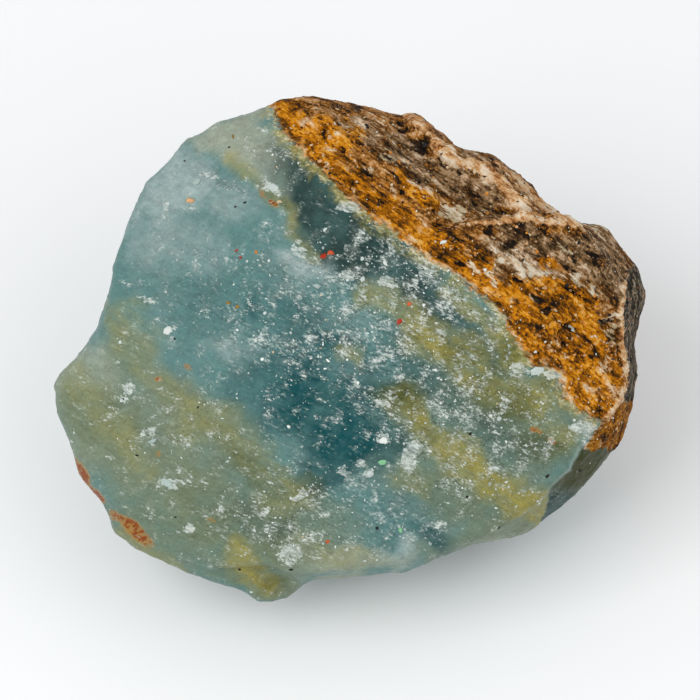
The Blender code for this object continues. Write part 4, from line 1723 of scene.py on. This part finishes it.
        # The hollow term darkens the crust's tone in hollows: painted shade.
        tone = tone + patch.swing(0.6) + bed.swing(0.88) - hollow * 0.13
        tear = fibre.swing(1.1) + grit.swing(0.6)
        grey = (s.mark("grey") + tear).ease(0.3, 0.75)
        amber = (s.mark("amber") + tear).ease(0.25, 0.7)
        colour = s.mix(grey, s.ramp(tone, self.earth), s.ramp(tone, self.grey))
        colour = s.mix(amber, colour, s.ramp(tone * 0.78 + 0.11, self.amber))
        salmon = (s.mark("salmon") + tear * 0.6).ease(0.25, 0.7)
        colour = s.mix(salmon * 0.92, colour, s.ramp(tone + 0.08, self.salmon))
        fringe = (0.95 - edge * 1.2).held() * (patch * 0.5 + grit * 0.5).ease(0.44, 0.6)
        bloom = (s.mark("bloom") + grit.swing(1.3) + fibre.swing(0.8)).ease(0.42, 0.7)
        colour = s.mix(bloom.over(fringe) * 0.9, colour, s.ramp(tone + 0.14, self.bloom))
        side = (s.mark("side") + upright.swing(0.6)).ease(0.3, 0.6)
        colour = s.mix(side, colour, s.ramp(upright * 1.3 - 0.15 + speck.swing(0.3), self.laminae))
        # Black gathers at the carved pits and holes and where the fibre, grit, bed and patch noise is low;
        # the hollow term adds painted shade in hollows.
        sunk = fibre.swing(-0.9) + grit.swing(-0.7) + bed.swing(-0.9) + patch.swing(-0.7)
        pit = s.mark("pit") * 0.5 + sunk + hollow * 0.12
        black = (pit - amber * 0.10 - salmon * 0.12).ease(0.26, 0.42)
        colour = s.mix(black * 0.9, colour, self.black)
        return colour, fibre * 1.1 + speck * 0.5


@dataclass(frozen=True)
class GrainFinish:
    """Small broken pieces, each with its own tint."""

    def material(self) -> bpy.types.Material:
        """Build the grains' material.

        Returns:
            The material.
        """
        s = Shader("loose_grains")
        tint = s.add("ShaderNodeAttribute", {"attribute_name": "tint"}).outputs["Color"]
        speck = s.noise(0.14, 2, 0.6)
        return s.finish({
            "Base Color": s.scaled(tint, 0.72 + speck * 0.5),
            "Roughness": 0.4,
            "Specular IOR Level": 0.3,
            "Normal": s.bump(speck, 0.03),
        })


@dataclass(frozen=True)
class FloorFinish:
    """Plain matt pale floor."""

    colour: Colour = (0.9, 0.9, 0.9, 1.0)

    def material(self) -> bpy.types.Material:
        """Build the floor's material."""
        s = Shader("pale_floor")
        return s.finish({"Base Color": self.colour, "Roughness": 0.9, "Specular IOR Level": 0.1})


@dataclass
class Studio:
    """The floor, the soft lights and the camera.

    Attributes:
        distance: Camera distance from the face, in metres.
        view_width: Width that the picture spans at the face, in metres.
        sensor: Width of the camera's sensor, in mm.
        floor_size: Side of the floor, in metres.
        aim: Where the lamps look, in metres.
        sky: Colour of the light from all round.
        sky_strength: Its strength.
    """

    distance: float = 0.9
    view_width: float = 0.077
    sensor: float = 36.0
    floor_size: float = 6.0
    aim: tuple[float, float, float] = (0.0, 0.0, 0.02)
    sky: Colour = (0.96, 0.98, 1.0, 1.0)
    sky_strength: float = 0.70

    def build(self) -> None:
        """Set the whole studio up."""
        self._floor()
        self._world()
        self._lamp("key", (-0.46, -0.28, 0.66), 0.6, 3.4)
        self._lamp("fill", (0.50, -0.40, 0.60), 0.8, 1.5)
        self._camera()

    def _floor(self) -> None:
        """Lay the floor."""
        mesh = bpy.data.meshes.new("floor")
        half = self.floor_size / 2
        corners = [(-half, -half, 0), (half, -half, 0), (half, half, 0), (-half, half, 0)]
        mesh.from_pydata(corners, [], [(0, 1, 2, 3)])
        floor = bpy.data.objects.new("floor", mesh)
        mesh.materials.append(FloorFinish().material())
        bpy.context.scene.collection.objects.link(floor)

    def _world(self) -> None:
        """Light the room softly from all round."""
        world = bpy.data.worlds.new("soft_room")
        world.use_nodes = True
        sky = world.node_tree.nodes["Background"]
        sky.inputs["Color"].default_value = self.sky
        sky.inputs["Strength"].default_value = self.sky_strength
        bpy.context.scene.world = world

    def _lamp(self, name: str, place: tuple[float, float, float], size: float, power: float) -> None:
        """Hang one soft lamp that looks at the stone.

        Args:
            name: Its name.
            place: Where it hangs, in metres.
            size: Side of its square, in metres.
            power: Its strength in watts.
        """
        data = bpy.data.lights.new(name, "AREA")
        data.size = size
        data.energy = power
        lamp = bpy.data.objects.new(name, data)
        lamp.location = place
        lamp.rotation_euler = (Vector(self.aim) - Vector(place)).to_track_quat("-Z", "Y").to_euler()
        bpy.context.scene.collection.objects.link(lamp)

    def _camera(self) -> None:
        """Look straight at the blue face, as the photograph does."""
        data = bpy.data.cameras.new("camera")
        data.sensor_width = self.sensor
        data.lens = self.sensor * self.distance / self.view_width
        camera = bpy.data.objects.new("camera", data)
        out = Vector(FACE.turn()[:, 2])
        camera.location = Vector(FACE.origin) + out * self.distance
        camera.rotation_euler = (-out).to_track_quat("-Z", "Y").to_euler()
        bpy.context.scene.collection.objects.link(camera)
        bpy.context.scene.camera = camera
        bpy.context.scene.view_settings.view_transform = "Standard"


def dress(piece: bpy.types.Object, material: bpy.types.Material) -> None:
    """Give a piece its material, body and slot.

    Args:
        piece: The piece.
        material: Its material.
    """
    piece.data.materials.clear()
    piece.data.materials.append(material)
    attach(piece, BODY)
    log.info("%s: %d faces", piece.name, len(piece.data.polygons))


def main() -> None:
    """Build the stone, its chips and the studio in order."""
    logging.basicConfig(level=logging.INFO)
    stone = Stone()
    body = stone.build()
    dress(body, OnyxFinish().material())
    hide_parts(NODE)
    dress(Grains(stone, body).build(), GrainFinish().material())
    Studio().build()


if __name__ == "__main__":
    main()
